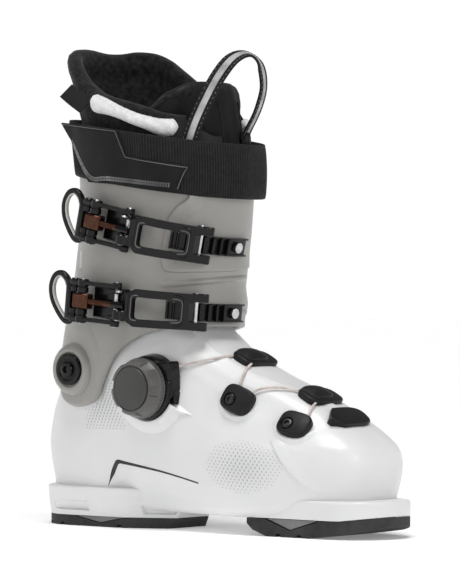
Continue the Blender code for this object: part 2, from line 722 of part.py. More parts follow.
def build_liner_cuff():
    """The leg part of the liner, open at the front, with the tongue standing in its opening."""
    angles = [36.0 + 288.0 * k / 26 for k in range(27)]
    grids = [cuff_grid(angles, liner_low, liner_top, 7, LINER_GAP - off) for off in (0.0, 8.0)]
    add_part("liner_cuff", slab("liner_cuff", *grids), FABRIC)
    angles = [-31.0 + 62.0 * k / 8 for k in range(9)]
    grids = [cuff_grid(angles, lambda x: 156.0, lambda x: 299.0, 8, LINER_GAP - off) for off in (0.0, 9.0)]
    add_part("liner_tongue", slab("liner_tongue", *grids), FABRIC)
    for side, start in (("lateral", 46.0), ("medial", 224.0)):
        angles = [start + 90.0 * k / 14 for k in range(15)]
        grids = [cuff_grid(angles, trim_low, lambda x: trim_low(x) + TRIM_HEIGHT, 3, off)
                 for off in (LINER_GAP + 4.4, LINER_GAP + 0.4)]
        add_part(f"liner_trim_{side}", slab(f"liner_trim_{side}", *grids), FLEECE)


def build_pull_loop():
    """A webbing loop that stands up from the front of the tongue."""
    middle = (
        (147.0, -35.0, 270.0), (154.0, -29.0, 290.0), (161.0, -19.0, 311.0), (165.0, -7.0, 325.0),
        (168.0, 5.0, 328.0), (169.0, 15.0, 320.0), (167.0, 21.0, 302.0), (162.0, 23.0, 284.0),
        (158.0, 23.0, 270.0),
    )
    path = smooth_path([metre(*point) for point in middle], 3)
    width = Vector((0.0085, -0.005, 0.0)) * 0.55
    outer = []
    inner = []
    for k, point in enumerate(path):
        ahead = path[min(k + 1, len(path) - 1)] - path[max(k - 1, 0)]
        normal = width.cross(ahead).normalized() * 0.0009
        outer.append([point - width + normal, point + width + normal])
        inner.append([point - width - normal, point + width - normal])
    add_part("pull_loop", slab("pull_loop", outer, inner), FABRIC)


# ---------------------------------------------------------------- buckles
def buckle_frame(name, spec):
    """The empty on a buckle's main hinge: local X runs forward along the buckle and local Z up its hinge."""
    empty = bpy.data.objects.new(name + "_hinge", None)
    PARTS.objects.link(empty)
    empty.location = metre(*spec["place"])
    empty.rotation_euler = (0.0, math.radians(spec["tilt"]), 0.0)
    return empty


def band_outline(path, thickness):
    """A closed outline around an open path of (x, y) points."""
    left = []
    right = []
    for k, point in enumerate(path):
        ahead = Vector(path[min(k + 1, len(path) - 1)]) - Vector(path[max(k - 1, 0)])
        normal = Vector((-ahead.y, ahead.x)).normalized() * thickness / 2.0
        left.append(tuple(Vector(point) + normal))
        right.append(tuple(Vector(point) - normal))
    return left + right[::-1]


def ladder_line(spec, offset, angle):
    """A point of the ladder's path in the buckle's local plane."""
    x, y, z = spec["place"]
    lean = math.tan(math.radians(spec["tilt"]))
    ahead = outline(angle, z, CUFF_GAP + CUFF_WALL + offset)[0] - x
    height = z - lean * ahead
    front = FRONT_GAP * ease((170.0 - height) / 20.0)
    place = outline(angle, height, CUFF_GAP + CUFF_WALL + offset, front)
    return ((place[0] - x) / math.cos(math.radians(spec["tilt"])), place[1] - y)


def build_ladder(name, spec, hinge, cuff, cuff_room):
    """A toothed strip on the medial flap, with its screw."""
    steps = [48.0 - 56.0 * k / 28 for k in range(29)]
    inner = [ladder_line(spec, 0.9, a) for a in steps]
    outer = []
    for k, angle in enumerate(steps):
        tall = 6.4 if k % 3 == 1 and k < 20 else 3.0
        outer.append(ladder_line(spec, tall, angle + 0.7))
        outer.append(ladder_line(spec, tall, angle - 0.7))
    ladder = add_part(name + "_ladder", prism(name + "_ladder", inner + outer[::-1], -6.2, 6.2), BLACK, hinge)
    cut(ladder, cuff_room)
    deep = Vector((*ladder_line(spec, -1.6, 1.0), 0.0))
    high = Vector((*ladder_line(spec, 6.0, 1.0), 0.0))
    way = (high - deep).normalized()
    hole = add_cutter(name + "_screw_hole", cylinder("hole", 2.4, deep - way, high + way * 4, 16), hinge)
    cut(ladder, hole)
    cut(cuff, hole)
    screw = add_part(name + "_ladder_screw", cylinder("screw", 2.0, deep, high, 16), STEEL, hinge)
    head = cylinder("head", 3.6, deep + way * 5.0, deep + way * 7.4, 20)
    join(screw, add_cutter(name + "_screw_head", head, hinge))


def build_buckle(name, spec, cuff, cuff_room):
    """One buckle: base and pin on the cuff, lever with its pull ring, trunnion, threaded rod and bail."""
    hinge = buckle_frame(name, spec)
    build_ladder(name, spec, hinge, cuff, cuff_room)
    base = add_part(name + "_base", block("base", (-23, 1.9, -10.9), (5, 12, 10.9), 0.8), BLACK, hinge)
    for sign in (-1.0, 1.0):
        low, high = sorted((sign * 7.6, sign * 10.6))
        ear = block("ear", (-4.5, -3.6, low), (4.5, 4.0, high), 0.5)
        join(base, add_cutter(f"{name}_ear_{sign:.0f}", ear, hinge))
    pin_room = add_cutter(name + "_pin_room", cylinder("pin_room", 1.8, (0, 0, -20), (0, 0, 20), 16), hinge)
    cut(base, cuff_room, pin_room)
    add_part(name + "_pin", cylinder("pin", 1.5, (0, 0, -14.2), (0, 0, 14.2), 16), STEEL, hinge)

    lever = add_part(name + "_lever", block("arm", (-39, -7.5, 11.1), (4, 1.2, 14.0), 0.7), BLACK, hinge)
    other = add_cutter(name + "_arm", block("arm", (-39, -7.5, -14.0), (4, 1.2, -11.1), 0.7), hinge)
    bridge = add_cutter(name + "_bridge", block("bridge", (-42, -7.0, -13.5), (-36.5, 0.2, 13.5), 0.7), hinge)
    ring = []
    for k in range(18):
        turn = math.radians(360.0 * k / 18)
        ring.append(Vector((-48.0 - 9.5 * math.cos(turn), -3.4, 1.0 + 16.0 * math.sin(turn))) * 0.001)
    pull = add_cutter(name + "_pull_ring", tube("pull", ring, 2.1, cyclic=True), hinge)
    join(lever, other, bridge, pull)
    trunnion_room = cylinder("trunnion_room", 2.3, (-27, -5, -20), (-27, -5, 20), 16)
    cut(lever, pin_room, add_cutter(name + "_trunnion_room", trunnion_room, hinge))

    body = block("block", (-33.5, -9.0, -5.2), (-19.5, -1.2, 5.2), 1.0)
    trunnion = add_part(name + "_trunnion", body, COPPER, hinge)
    stub = cylinder("stub", 2.0, (-27, -5, -13.6), (-27, -5, 13.6), 16)
    join(trunnion, add_cutter(name + "_stub", stub, hinge))
    collar_end = spec["collar_end"]
    bore = cylinder("rod_room", 2.5, (-45, -5, 0), (collar_end - 1.9, -5, 0), 20)
    rod_room = add_cutter(name + "_rod_room", bore, hinge)
    cut(trunnion, rod_room)
    rod = cylinder("rod", 2.15, (-34.6, -5, 0), (collar_end - 2.5, -5, 0), 20)
    add_part(name + "_rod", rod, COPPER, hinge)

    bar = ladder_line(spec, 5.1, 31.0)
    start = Vector((collar_end - 0.5, -5.0))
    bend = Vector((30.0, -4.6))
    finish = Vector(ladder_line(spec, 8.6, 25.0))
    path = []
    for k in range(25):
        t = k / 24
        path.append(tuple(start * (1 - t) ** 2 + bend * 2 * t * (1 - t) + finish * t * t))
    bail = add_part(name + "_bail", prism("bail", band_outline(path, 3.0), -12.5, 12.5), BLACK, hinge)
    collar = block("collar", (collar_end - 11.5, -9.4, -6.5), (collar_end, -1.9, 6.5), 0.9)
    join(bail, add_cutter(name + "_collar", collar, hinge))
    cut(bail, rod_room)
    beyond = tuple(Vector(path[-1]) * 3.0 - Vector(path[-2]) * 2.0)
    for number, line in enumerate((path[4:20], [*path[21:], beyond])):
        window = prism("window", band_outline(line, 24.0), -6.6, 6.6)
        cut(bail, add_cutter(f"{name}_window_{number}", window, hinge))
    for sign in (-1.0, 1.0):
        low, high = sorted((sign * 6.9, sign * 11.5))
        cheek = cylinder("cheek", 3.6, (*bar, low), (*bar, high), 16)
        join(bail, add_cutter(f"{name}_cheek_{sign:.0f}", cheek, hinge))
    bar_room = add_cutter(name + "_bar_room", cylinder("bar_room", 1.9, (*bar, -20), (*bar, 20), 16), hinge)
    cut(bail, bar_room)
    add_part(name + "_catch_bar", cylinder("catch_bar", 1.55, (*bar, -11.2), (*bar, 11.2), 16), STEEL, hinge)


# ---------------------------------------------------------------- assembly
clear_scene()
PARTS = new_collection("ski_boot")
CUTTERS = new_collection("cutters")


def build_boot():
    heel_lug, toe_lug = build_sole()
    shell = build_lower_shell(heel_lug, toe_lug)
    build_sole_screws(shell, (bpy.data.objects["heel_sole_pad"], bpy.data.objects["toe_sole_pad"]))
    build_boot_board()
    build_liner_foot()
    shell_room = add_cutter("shell_room", loft("shell_room", shell_outside(FIT + 0.15)))
    route = lace_route()
    add_part("lace_cable", tube("lace_cable", route, LACE_RADIUS), LACE)
    channel = add_cutter("lace_channel", tube("lace_channel", route, LACE_RADIUS + 0.6))
    build_guides(shell_room, channel)
    build_dial(shell_room, channel)
    cuff = build_cuff()
    cuff_room = build_cuff_room()
    build_strap()
    build_liner_cuff()
    build_pull_loop()
    build_buckle("upper_buckle", UPPER_BUCKLE, cuff, cuff_room)
    build_buckle("lower_buckle", LOWER_BUCKLE, cuff, cuff_room)


build_boot()
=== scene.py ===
import json
import math

import bmesh
import bpy
import numpy as np
from mathutils import Matrix, Vector
from mathutils.bvhtree import BVHTree

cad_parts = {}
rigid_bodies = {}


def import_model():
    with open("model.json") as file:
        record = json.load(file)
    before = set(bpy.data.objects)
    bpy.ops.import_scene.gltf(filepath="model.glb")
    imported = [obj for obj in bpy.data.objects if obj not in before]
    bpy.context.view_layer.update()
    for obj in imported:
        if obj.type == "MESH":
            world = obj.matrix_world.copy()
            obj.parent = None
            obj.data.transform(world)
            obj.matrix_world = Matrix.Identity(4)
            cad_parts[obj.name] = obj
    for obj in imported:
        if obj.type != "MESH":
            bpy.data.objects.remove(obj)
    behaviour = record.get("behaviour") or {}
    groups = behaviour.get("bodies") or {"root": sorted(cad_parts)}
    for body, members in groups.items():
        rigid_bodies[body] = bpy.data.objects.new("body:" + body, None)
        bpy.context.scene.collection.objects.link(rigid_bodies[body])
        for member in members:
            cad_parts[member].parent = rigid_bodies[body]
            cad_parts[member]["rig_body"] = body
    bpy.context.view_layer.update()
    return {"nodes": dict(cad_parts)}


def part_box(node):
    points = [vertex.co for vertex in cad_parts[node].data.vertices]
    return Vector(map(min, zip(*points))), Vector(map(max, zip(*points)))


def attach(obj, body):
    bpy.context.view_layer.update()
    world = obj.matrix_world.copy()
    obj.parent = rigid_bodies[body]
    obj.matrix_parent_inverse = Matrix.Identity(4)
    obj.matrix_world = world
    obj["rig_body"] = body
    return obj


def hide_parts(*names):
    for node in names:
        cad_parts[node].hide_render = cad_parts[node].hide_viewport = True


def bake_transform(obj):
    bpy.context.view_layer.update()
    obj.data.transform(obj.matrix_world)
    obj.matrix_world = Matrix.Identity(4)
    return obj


# Looks of the ski boot. Design lengths are millimetres: X from the heel to the toe, +Y medial, +Z up,
# with the heel's back at X = 0. mm() turns them into metres in the frame's own axes.

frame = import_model()
NODES = frame["nodes"]
ORIGIN_X = -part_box("heel_sole_pad")[0].x * 1000.0

# ---------------------------------------------------------------- dimensions shared with the CAD source (mm)
LUG_HALF = 34.5             # half the width of the sole blocks
HEEL_BASE = 7.35            # where the heel block stands on its tread
HEEL_TOP = 28.0
HEEL_FRONT = 126.0
HEEL_NOSE = (87.0, 15.0)    # where the heel block starts to taper, and half its width at the front
HEEL_FLARE = (12.1, -4.3)   # how the heel block widens with its height, linear and squared
SOLE_LENGTH = 302.0
SHELL_WALL = 4.5
SHELL_FLOOR = 16.5
CUFF_WALL = 4.0
CUFF_GAP = 1.4              # clearance between the lower shell and the cuff
FRONT_GAP = 5.2             # extra clearance at the front, so that the cuff can flex
PIVOT = (54.0, 110.0)       # cuff hinge, x and z
DIAL = (122.0, 98.0)        # lace dial, x and z
LACE_RADIUS = 0.8
LACE_LIFT = 1.3             # gap between the lace and the shell
STRAP_HEIGHT = 36.0
STRAP_SLACK = 5.0           # how far the strap stands off the cuff at the front
STRAP_CENTRE = 256.5        # height of the strap's middle at x = 98
STRAP_SLOPE = -0.175
UPPER_BUCKLE = {"place": (112.0, -57.5, 206.0), "tilt": 13.0, "collar_end": 8.5}
LOWER_BUCKLE = {"place": (103.0, -59.0, 155.0), "tilt": 6.0, "collar_end": 14.5}

# height, back, front, then half widths at the heel, the waist and the ball, then end roundness
SECTIONS = (
    (12.0, 8.0, 272.0, 36.0, 31.0, 43.0, 0.50),
    (20.0, 7.0, 278.0, 40.0, 34.0, 47.0, 0.50),
    (30.0, 7.5, 281.0, 43.0, 37.0, 50.0, 0.50),
    (47.0, 5.0, 283.5, 46.0, 41.0, 53.0, 0.50),
    (58.0, 4.0, 281.0, 47.0, 43.0, 53.0, 0.51),
    (66.0, 4.5, 274.0, 48.0, 44.0, 50.0, 0.54),
    (75.0, 6.0, 262.0, 48.5, 45.0, 46.0, 0.58),
    (84.0, 8.5, 249.0, 49.0, 46.0, 43.0, 0.61),
    (95.0, 13.0, 229.0, 49.5, 46.5, 41.0, 0.66),
    (108.0, 18.0, 198.0, 50.0, 47.0, 40.0, 0.72),
    (120.0, 21.0, 173.0, 50.0, 47.0, 41.0, 0.78),
    (131.0, 23.5, 157.0, 49.5, 47.0, 42.0, 0.82),
    (141.0, 26.0, 145.0, 49.0, 47.0, 44.0, 0.85),
    (158.0, 30.5, 148.5, 48.0, 47.5, 46.0, 0.88),
    (180.0, 34.0, 152.0, 47.0, 47.5, 46.0, 0.90),
    (210.0, 38.0, 156.0, 47.0, 47.5, 46.0, 0.90),
    (240.0, 38.0, 158.0, 47.0, 47.5, 46.0, 0.90),
    (270.0, 35.0, 157.0, 47.0, 47.0, 46.0, 0.90),
    (300.0, 28.0, 152.0, 48.0, 47.0, 45.0, 0.90),
    (340.0, 22.0, 146.0, 49.0, 47.0, 44.0, 0.90),
)
STATIONS = (0.14, 0.42, 0.74)
TOE_SWING = 7.0
CUFF_EDGE = (
    (5.0, 112.0), (30.0, 105.0), (41.0, 91.0), (54.0, 86.0), (66.0, 87.5), (75.0, 92.0), (81.0, 104.0),
    (87.0, 115.0), (95.0, 125.0), (104.0, 132.0), (114.0, 137.0), (130.0, 140.5), (160.0, 142.5),
)
GUIDES = {
    "instep_guide_upper": (178.0, 0.0, 10.0, 17.5, 6.5, 0.0),
    "instep_guide_lower": (234.0, 1.0, 10.0, 17.5, 6.5, 0.0),
    "lateral_guide_upper": (192.0, -34.0, 12.0, 9.5, 6.0, 15.0),
    "lateral_guide_lower": (236.5, -29.0, 11.5, 9.5, 6.0, 15.0),
    "toe_plate": (256.5, 1.0, 9.5, 20.0, 3.6, 0.0),
}


def mm(x, y, z):
    """A design point in millimetres as a point in metres in the frame."""
    return Vector((x - ORIGIN_X, y, z)) * 0.001


def at(place, x, y, z):
    """A placement's local point in millimetres as a point of the frame."""
    return place @ (Vector((x, y, z)) * 0.001)


def moved(place, x, y, z):
    """A placement moved by local millimetres."""
    return place @ Matrix.Translation(Vector((x, y, z)) * 0.001)


def flipped(place, sign):
    """A placement turned over about its local X where the sign is negative."""
    return place @ Matrix.Rotation(0.0 if sign > 0 else math.pi, 4, "X")


# ---------------------------------------------------------------- the boot's sections
def ease(t):
    t = min(max(t, 0.0), 1.0)
    return t * t * (3.0 - 2.0 * t)


def blend_table(table, position):
    """Values from a table at a position, along a smooth curve through its rows."""
    keys = [row[0] for row in table]
    position = min(max(position, keys[0]), keys[-1])
    k = min(max(int(np.searchsorted(keys, position)) - 1, 0), len(keys) - 2)
    span = keys[k + 1] - keys[k]
    t = (position - keys[k]) / span
    values = []
    for column in range(1, len(table[0])):
        start = table[k][column]
        end = table[k + 1][column]
        before = (end - table[k - 1][column]) / (keys[k + 1] - keys[k - 1]) if k > 0 else (end - start) / span
        last = k + 2 < len(keys)
        after = (table[k + 2][column] - start) / (keys[k + 2] - keys[k]) if last else (end - start) / span
        values.append((2 * t ** 3 - 3 * t ** 2 + 1) * start + (t ** 3 - 2 * t ** 2 + t) * span * before
                      + (3 * t ** 2 - 2 * t ** 3) * end + (t ** 3 - t ** 2) * span * after)
    return values


def outline(angle, z, offset=0.0, front=0.0):
    """The section's edge at a height: x and y for an angle, 0 at the front, 90 lateral, 180 at the back."""
    back, toe, heel, waist, ball, power = blend_table(SECTIONS, z)
    back -= offset
    toe += offset + front
    turn = math.radians(angle)
    fraction = 0.5 + 0.5 * math.cos(turn)
    if fraction < STATIONS[1]:
        width = heel + (waist - heel) * ease((fraction - STATIONS[0]) / (STATIONS[1] - STATIONS[0]))
    else:
        width = waist + (ball - waist) * ease((fraction - STATIONS[1]) / (STATIONS[2] - STATIONS[1]))
    swing = TOE_SWING * ease((fraction - 0.45) / 0.55) * ease((110.0 - z) / 40.0)
    side = math.copysign(abs(math.sin(turn)) ** power, math.sin(turn))
    return back + (toe - back) * fraction, swing - (width + offset) * side


def edge_height(x, table):
    return float(np.interp(x, [p[0] for p in table], [p[1] for p in table]))


def shell_top(x):
    return 118.0 + 25.0 * ease((x - 70.0) / 40.0)


def inside(x, y, z):
    """True where a point is inside the body's section at its height."""
    back, toe = blend_table(SECTIONS, z)[:2]
    if not back < x < toe:
        return False
    angle = math.degrees(math.acos(2.0 * (x - back) / (toe - back) - 1.0))
    return outline(angle, z)[1] < y < outline(-angle, z)[1]


def lateral_side(x, z, offset):
    """The y of the lateral side at an x and a height, moved outwards by an offset."""
    back, toe = blend_table(SECTIONS, z)[:2]
    share = (x - back + offset) / (toe - back + 2.0 * offset)
    return outline(math.degrees(math.acos(2.0 * share - 1.0)), z, offset)[1]


def surface_height(x, y):
    """Height of the lower shell's upper surface over a point of the plan."""
    low, high = 50.0, 141.0
    for _ in range(24):
        middle = (low + high) / 2.0
        if inside(x, y, middle):
            low = middle
        else:
            high = middle
    return low


def surface_frame(x, y, spin=0.0):
    """Placement on the lower shell's upper surface: local Z is its normal and local X points to the toe."""
    step = 2.0
    slope_x = (surface_height(x + step, y) - surface_height(x - step, y)) / (2 * step)
    slope_y = (surface_height(x, y + step) - surface_height(x, y - step)) / (2 * step)
    normal = Vector((-slope_x, -slope_y, 1.0)).normalized()
    forward = Vector((1.0, 0.0, slope_x)).normalized()
    side = normal.cross(forward)
    turn = Matrix((forward, side, normal)).transposed().to_4x4()
    place = Matrix.Translation(mm(x, y, surface_height(x, y)))
    return place @ turn @ Matrix.Rotation(math.radians(spin), 4, "Z")


def cuff_point(angle, z, offset):
    """A point on the cuff's inner surface, moved outwards by an offset."""
    front = FRONT_GAP * ease((170.0 - z) / 20.0)
    return mm(*outline(angle, z, CUFF_GAP + offset, front), z)


def meet_edge(angle, edge):
    """The height where the section's edge at an angle meets an edge given as a height for each x."""
    low, high = 80.0, 345.0
    for _ in range(24):
        middle = (low + high) / 2.0
        if middle < edge(outline(angle, middle)[0]):
            low = middle
        else:
            high = middle
    return low


def strap_middle(x):
    return STRAP_CENTRE + STRAP_SLOPE * (x - 98.0)


def strap_rise(angle):
    """How far the strap stands off the cuff: slack at the front, and over the flap's edge."""
    slack = STRAP_SLACK * ease((math.cos(math.radians(angle + 40.0)) - 0.2) / 0.6)
    return slack + 3.6 * ease((78.0 - angle) / 10.0) * ease((angle - 36.0) / 10.0)


def catmull(a, b, c, d, t):
    """The point at a share t of the way from b to c on a Catmull-Rom curve."""
    return 0.5 * (2 * b + (c - a) * t + (2 * a - 5 * b + 4 * c - d) * t ** 2
                  + (3 * b - a - 3 * c + d) * t ** 3)


def smooth_path(points, steps):
    """A Catmull-Rom curve through the points, with the given steps between each pair."""
    points = [Vector(p) for p in points]
    padded = [2 * points[0] - points[1], *points, 2 * points[-1] - points[-2]]
    path = []
    for a, b, c, d in zip(padded, padded[1:], padded[2:], padded[3:]):
        path.extend(catmull(a, b, c, d, k / steps) for k in range(steps))
    path.append(points[-1])
    return path


def design_path(points, steps):
    """A smooth path through design points in millimetres."""
    return smooth_path([mm(*p) for p in points], steps)


# ---------------------------------------------------------------- mesh helpers
def finish_mesh(name, bm, sharp=40.0):
    bmesh.ops.recalc_face_normals(bm, faces=bm.faces)
    mesh = bpy.data.meshes.new(name)
    bm.to_mesh(mesh)
    bm.free()
    mesh.shade_smooth()
    mesh.set_sharp_from_angle(angle=math.radians(sharp))
    return mesh


def piece(name, mesh, material, body, slot, *nodes):
    """A visible piece that rides on a CAD body and may stand for CAD nodes."""
    item = bpy.data.objects.new(name, mesh)
    bpy.context.scene.collection.objects.link(item)
    mesh.materials.clear()
    mesh.materials.append(material)
    if body is not None:
        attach(item, body)
    if nodes:
        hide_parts(*nodes)
    return item


def add_rings(bm, rings, caps=True):
    """Faces through a row of matching rings, with the first and the last ring closed where asked."""
    loops = [[bm.verts.new(point) for point in ring] for ring in rings]
    count = len(rings[0])
    for low, high in zip(loops, loops[1:]):
        for i in range(count):
            j = (i + 1) % count
            bm.faces.new((low[i], low[j], high[j], high[i]))
    if caps:
        bm.faces.new(loops[0])
        bm.faces.new(loops[-1])
    return loops


def loft(name, rings, caps=True, sharp=40.0):
    bm = bmesh.new()
    add_rings(bm, rings, caps)
    return finish_mesh(name, bm, sharp)


def joined(name, meshes, sharp=40.0):
    """One mesh made of several closed ones."""
    bm = bmesh.new()
    for mesh in meshes:
        bm.from_mesh(mesh)
        bpy.data.meshes.remove(mesh)
    return finish_mesh(name, bm, sharp)


def rounded_rim(edge, before, other):
    """Rows that close a sheet's edge with a half round; before is the row next to the edge's own."""
    rows = []
    for k in range(1, 5):
        turn = math.pi * k / 5
        row = []
        for a, a_before, b in zip(edge, before, other):
            middle = (a + b) / 2.0
            radius = (a - b).length / 2.0
            ahead = (a - a_before).normalized()
            row.append(middle + (a - b) / 2.0 * math.cos(turn) + ahead * radius * math.sin(turn))
        rows.append(row)
    return rows


def shell_sheet(name, outer, inner, wrap=True, sharp=50.0):
    """A closed sheet between two grids of rows, low to high, with a half round at both edges."""
    bm = bmesh.new()
    rings = [*outer, *rounded_rim(outer[-1], outer[-2], inner[-1])]
    rings += [*reversed(inner), *rounded_rim(inner[0], inner[1], outer[0])]
    loops = [[bm.verts.new(point) for point in ring] for ring in rings]
    count = len(rings[0])
    for k in range(len(loops)):
        low, high = loops[k], loops[(k + 1) % len(loops)]
        for i in range(count if wrap else count - 1):
            j = (i + 1) % count
            bm.faces.new((low[i], low[j], high[j], high[i]))
    if not wrap:
        for i in (0, count - 1):
            bm.faces.new([loop[i] for loop in loops])
    return finish_mesh(name, bm, sharp)


def two_grids(shares, columns, pair):
    """Outer and inner rows of points; pair(column, share) gives the two points of one place."""
    both = [[pair(column, share) for column in columns] for share in shares]
    return [[[points[side] for points in row] for row in both] for side in (0, 1)]


def frames_along(path, up=None):
    """Tangent, side and normal at each point of a path, without twist."""
    frames = []
    normal = None
    for k in range(len(path)):
        ahead = (path[min(k + 1, len(path) - 1)] - path[max(k - 1, 0)]).normalized()
        if up is not None:
            normal = up[k] if isinstance(up, list) else up
        elif normal is None:
            normal = ahead.orthogonal()
        normal = (normal - ahead * normal.dot(ahead)).normalized()
        frames.append((ahead, ahead.cross(normal), normal))
    return frames


def sweep(name, path, profile, up=None, scale=None, cyclic=False):
    """A closed bar along a path; its profile holds (side, up) millimetres, and scale(share) sizes it."""
    rings = []
    for k, (point, (_, side, normal)) in enumerate(zip(path, frames_along(path, up))):
        size = scale(k / (len(path) - 1)) if scale else 1.0
        rings.append([point + side * a * size * 0.001 + normal * b * size * 0.001 for a, b in profile])
    bm = bmesh.new()
    loops = add_rings(bm, rings, caps=not cyclic)
    if cyclic:
        count = len(profile)
        for i in range(count):
            j = (i + 1) % count
            bm.faces.new((loops[-1][i], loops[-1][j], loops[0][j], loops[0][i]))
    return finish_mesh(name, bm)


def circle(radius, count=12, squash=1.0):
    turns = [2 * math.pi * k / count for k in range(count)]
    return [(radius * math.cos(turn), radius * squash * math.sin(turn)) for turn in turns]


def rounded_box(half_a, half_b, radius, steps=4):
    """Outline of a rectangle with round corners, as (a, b) points."""
    points = []
    for corner, (sa, sb) in enumerate(((1, 1), (-1, 1), (-1, -1), (1, -1))):
        for k in range(steps + 1):
            turn = math.pi / 2 * (corner + k / steps)
            points.append((sa * (half_a - radius) + radius * math.cos(turn),
                           sb * (half_b - radius) + radius * math.sin(turn)))
    return points


def tube(name, path, radius, count=12, cyclic=False):
    return sweep(name, path, circle(radius, count), cyclic=cyclic)


def lathe(name, rows, place, count=48, ripple=None):
    """A turned body from (radius, height) rows about local Z; ripple(angle, row) adds to the radius."""
    rings = []
    for row, (radius, height) in enumerate(rows):
        ring = []
        for k in range(count):
            turn = 2 * math.pi * k / count
            reach = radius + (ripple(turn, row) if ripple else 0.0)
            spot = (reach * math.cos(turn) * 0.001, reach * math.sin(turn) * 0.001, height * 0.001)
            ring.append(place @ Vector(spot))
        rings.append(ring)
    return loft(name, rings)


def rounded_solid(name, plan, low, high, radius, place):
    """A plate from a plan outline of (a, b) points, with its upper edge rounded, about local Z."""
    points = [Vector((a, b, 0.0)) for a, b in plan]
    count = len(points)
    centre = sum(points, Vector()) / count

    def inset(amount):
        ring = []
        for k in range(count):
            ahead = points[(k + 1) % count] - points[k - 1]
            out = Vector((ahead.y, -ahead.x, 0.0)).normalized()
            if out.dot(points[k] - centre) < 0.0:
                out = -out
            ring.append(points[k] - out * amount)
        return ring

    rows = [(0.0, low)]
    for k in range(5):
        turn = math.pi / 2 * k / 4
        rows.append((radius * (1 - math.cos(turn)), high - radius * (1 - math.sin(turn))))
    return loft(name, [[at(place, p.x, p.y, height) for p in inset(amount)] for amount, height in rows])


def screw_head(name, radius, tall, place):
    """A low round screw head with a hexagonal socket, standing on local Z = 0."""
    turns = [math.pi * k / 12 for k in range(24)]
    rings = []
    for reach, height in ((radius, -1.5), (radius, tall * 0.55), (radius * 0.93, tall * 0.85),
                          (radius * 0.8, tall), (radius * 0.52, tall)):
        rings.append([at(place, reach * math.cos(t), reach * math.sin(t), height) for t in turns])
    reaches = [radius * 0.42 / math.cos((turn % (math.pi / 3)) - math.pi / 6) for turn in turns]
    for height in (tall, tall * 0.35):
        rings.append([at(place, reach * math.cos(t), reach * math.sin(t), height)
                      for reach, t in zip(reaches, turns)])
    return loft(name, rings, True, 30.0)


def boolean(item, tools, operation):
    """Applies a Boolean with each tool mesh and returns the new mesh."""
    for number, tool in enumerate(tools):
        helper = bpy.data.objects.new(f"tool_{number}", tool)
        bpy.context.scene.collection.objects.link(helper)
        modifier = item.modifiers.new("boolean", "BOOLEAN")
        modifier.operation = operation
        modifier.object = helper
        modifier.solver = "EXACT"
        bpy.context.view_layer.update()
        mesh = bpy.data.meshes.new_from_object(item.evaluated_get(bpy.context.evaluated_depsgraph_get()))
        item.modifiers.clear()
        item.data = mesh
        bpy.data.objects.remove(helper)
    return item.data


def add_bevel(item, width, angle, segments=3):
    modifier = item.modifiers.new("round", "BEVEL")
    modifier.width = width * 0.001
    modifier.segments = segments
    modifier.limit_method = "ANGLE"
    modifier.angle_limit = math.radians(angle)
    modifier.use_clamp_overlap = True


def refined(node, material, slot, bevel=0.5, segments=3):
    """A CAD node's shape with rounded edges and a finished material, standing for that node."""
    bm = bmesh.new()
    bm.from_mesh(NODES[node].data)
    bmesh.ops.remove_doubles(bm, verts=bm.verts, dist=1e-6)
    bmesh.ops.dissolve_limit(bm, angle_limit=math.radians(1.0), verts=bm.verts, edges=bm.edges)
    mesh = finish_mesh(node + "_look", bm)
    item = piece(node + "_look", mesh, material, NODES[node]["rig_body"], slot, node)
    if bevel:
        add_bevel(item, bevel, 40.0, segments)


# ---------------------------------------------------------------- materials
def srgb(r, g, b):
    shares = [value / 255.0 for value in (r, g, b)]
    return tuple(share / 12.92 if share <= 0.04 else ((share + 0.055) / 1.055) ** 2.4 for share in shares)


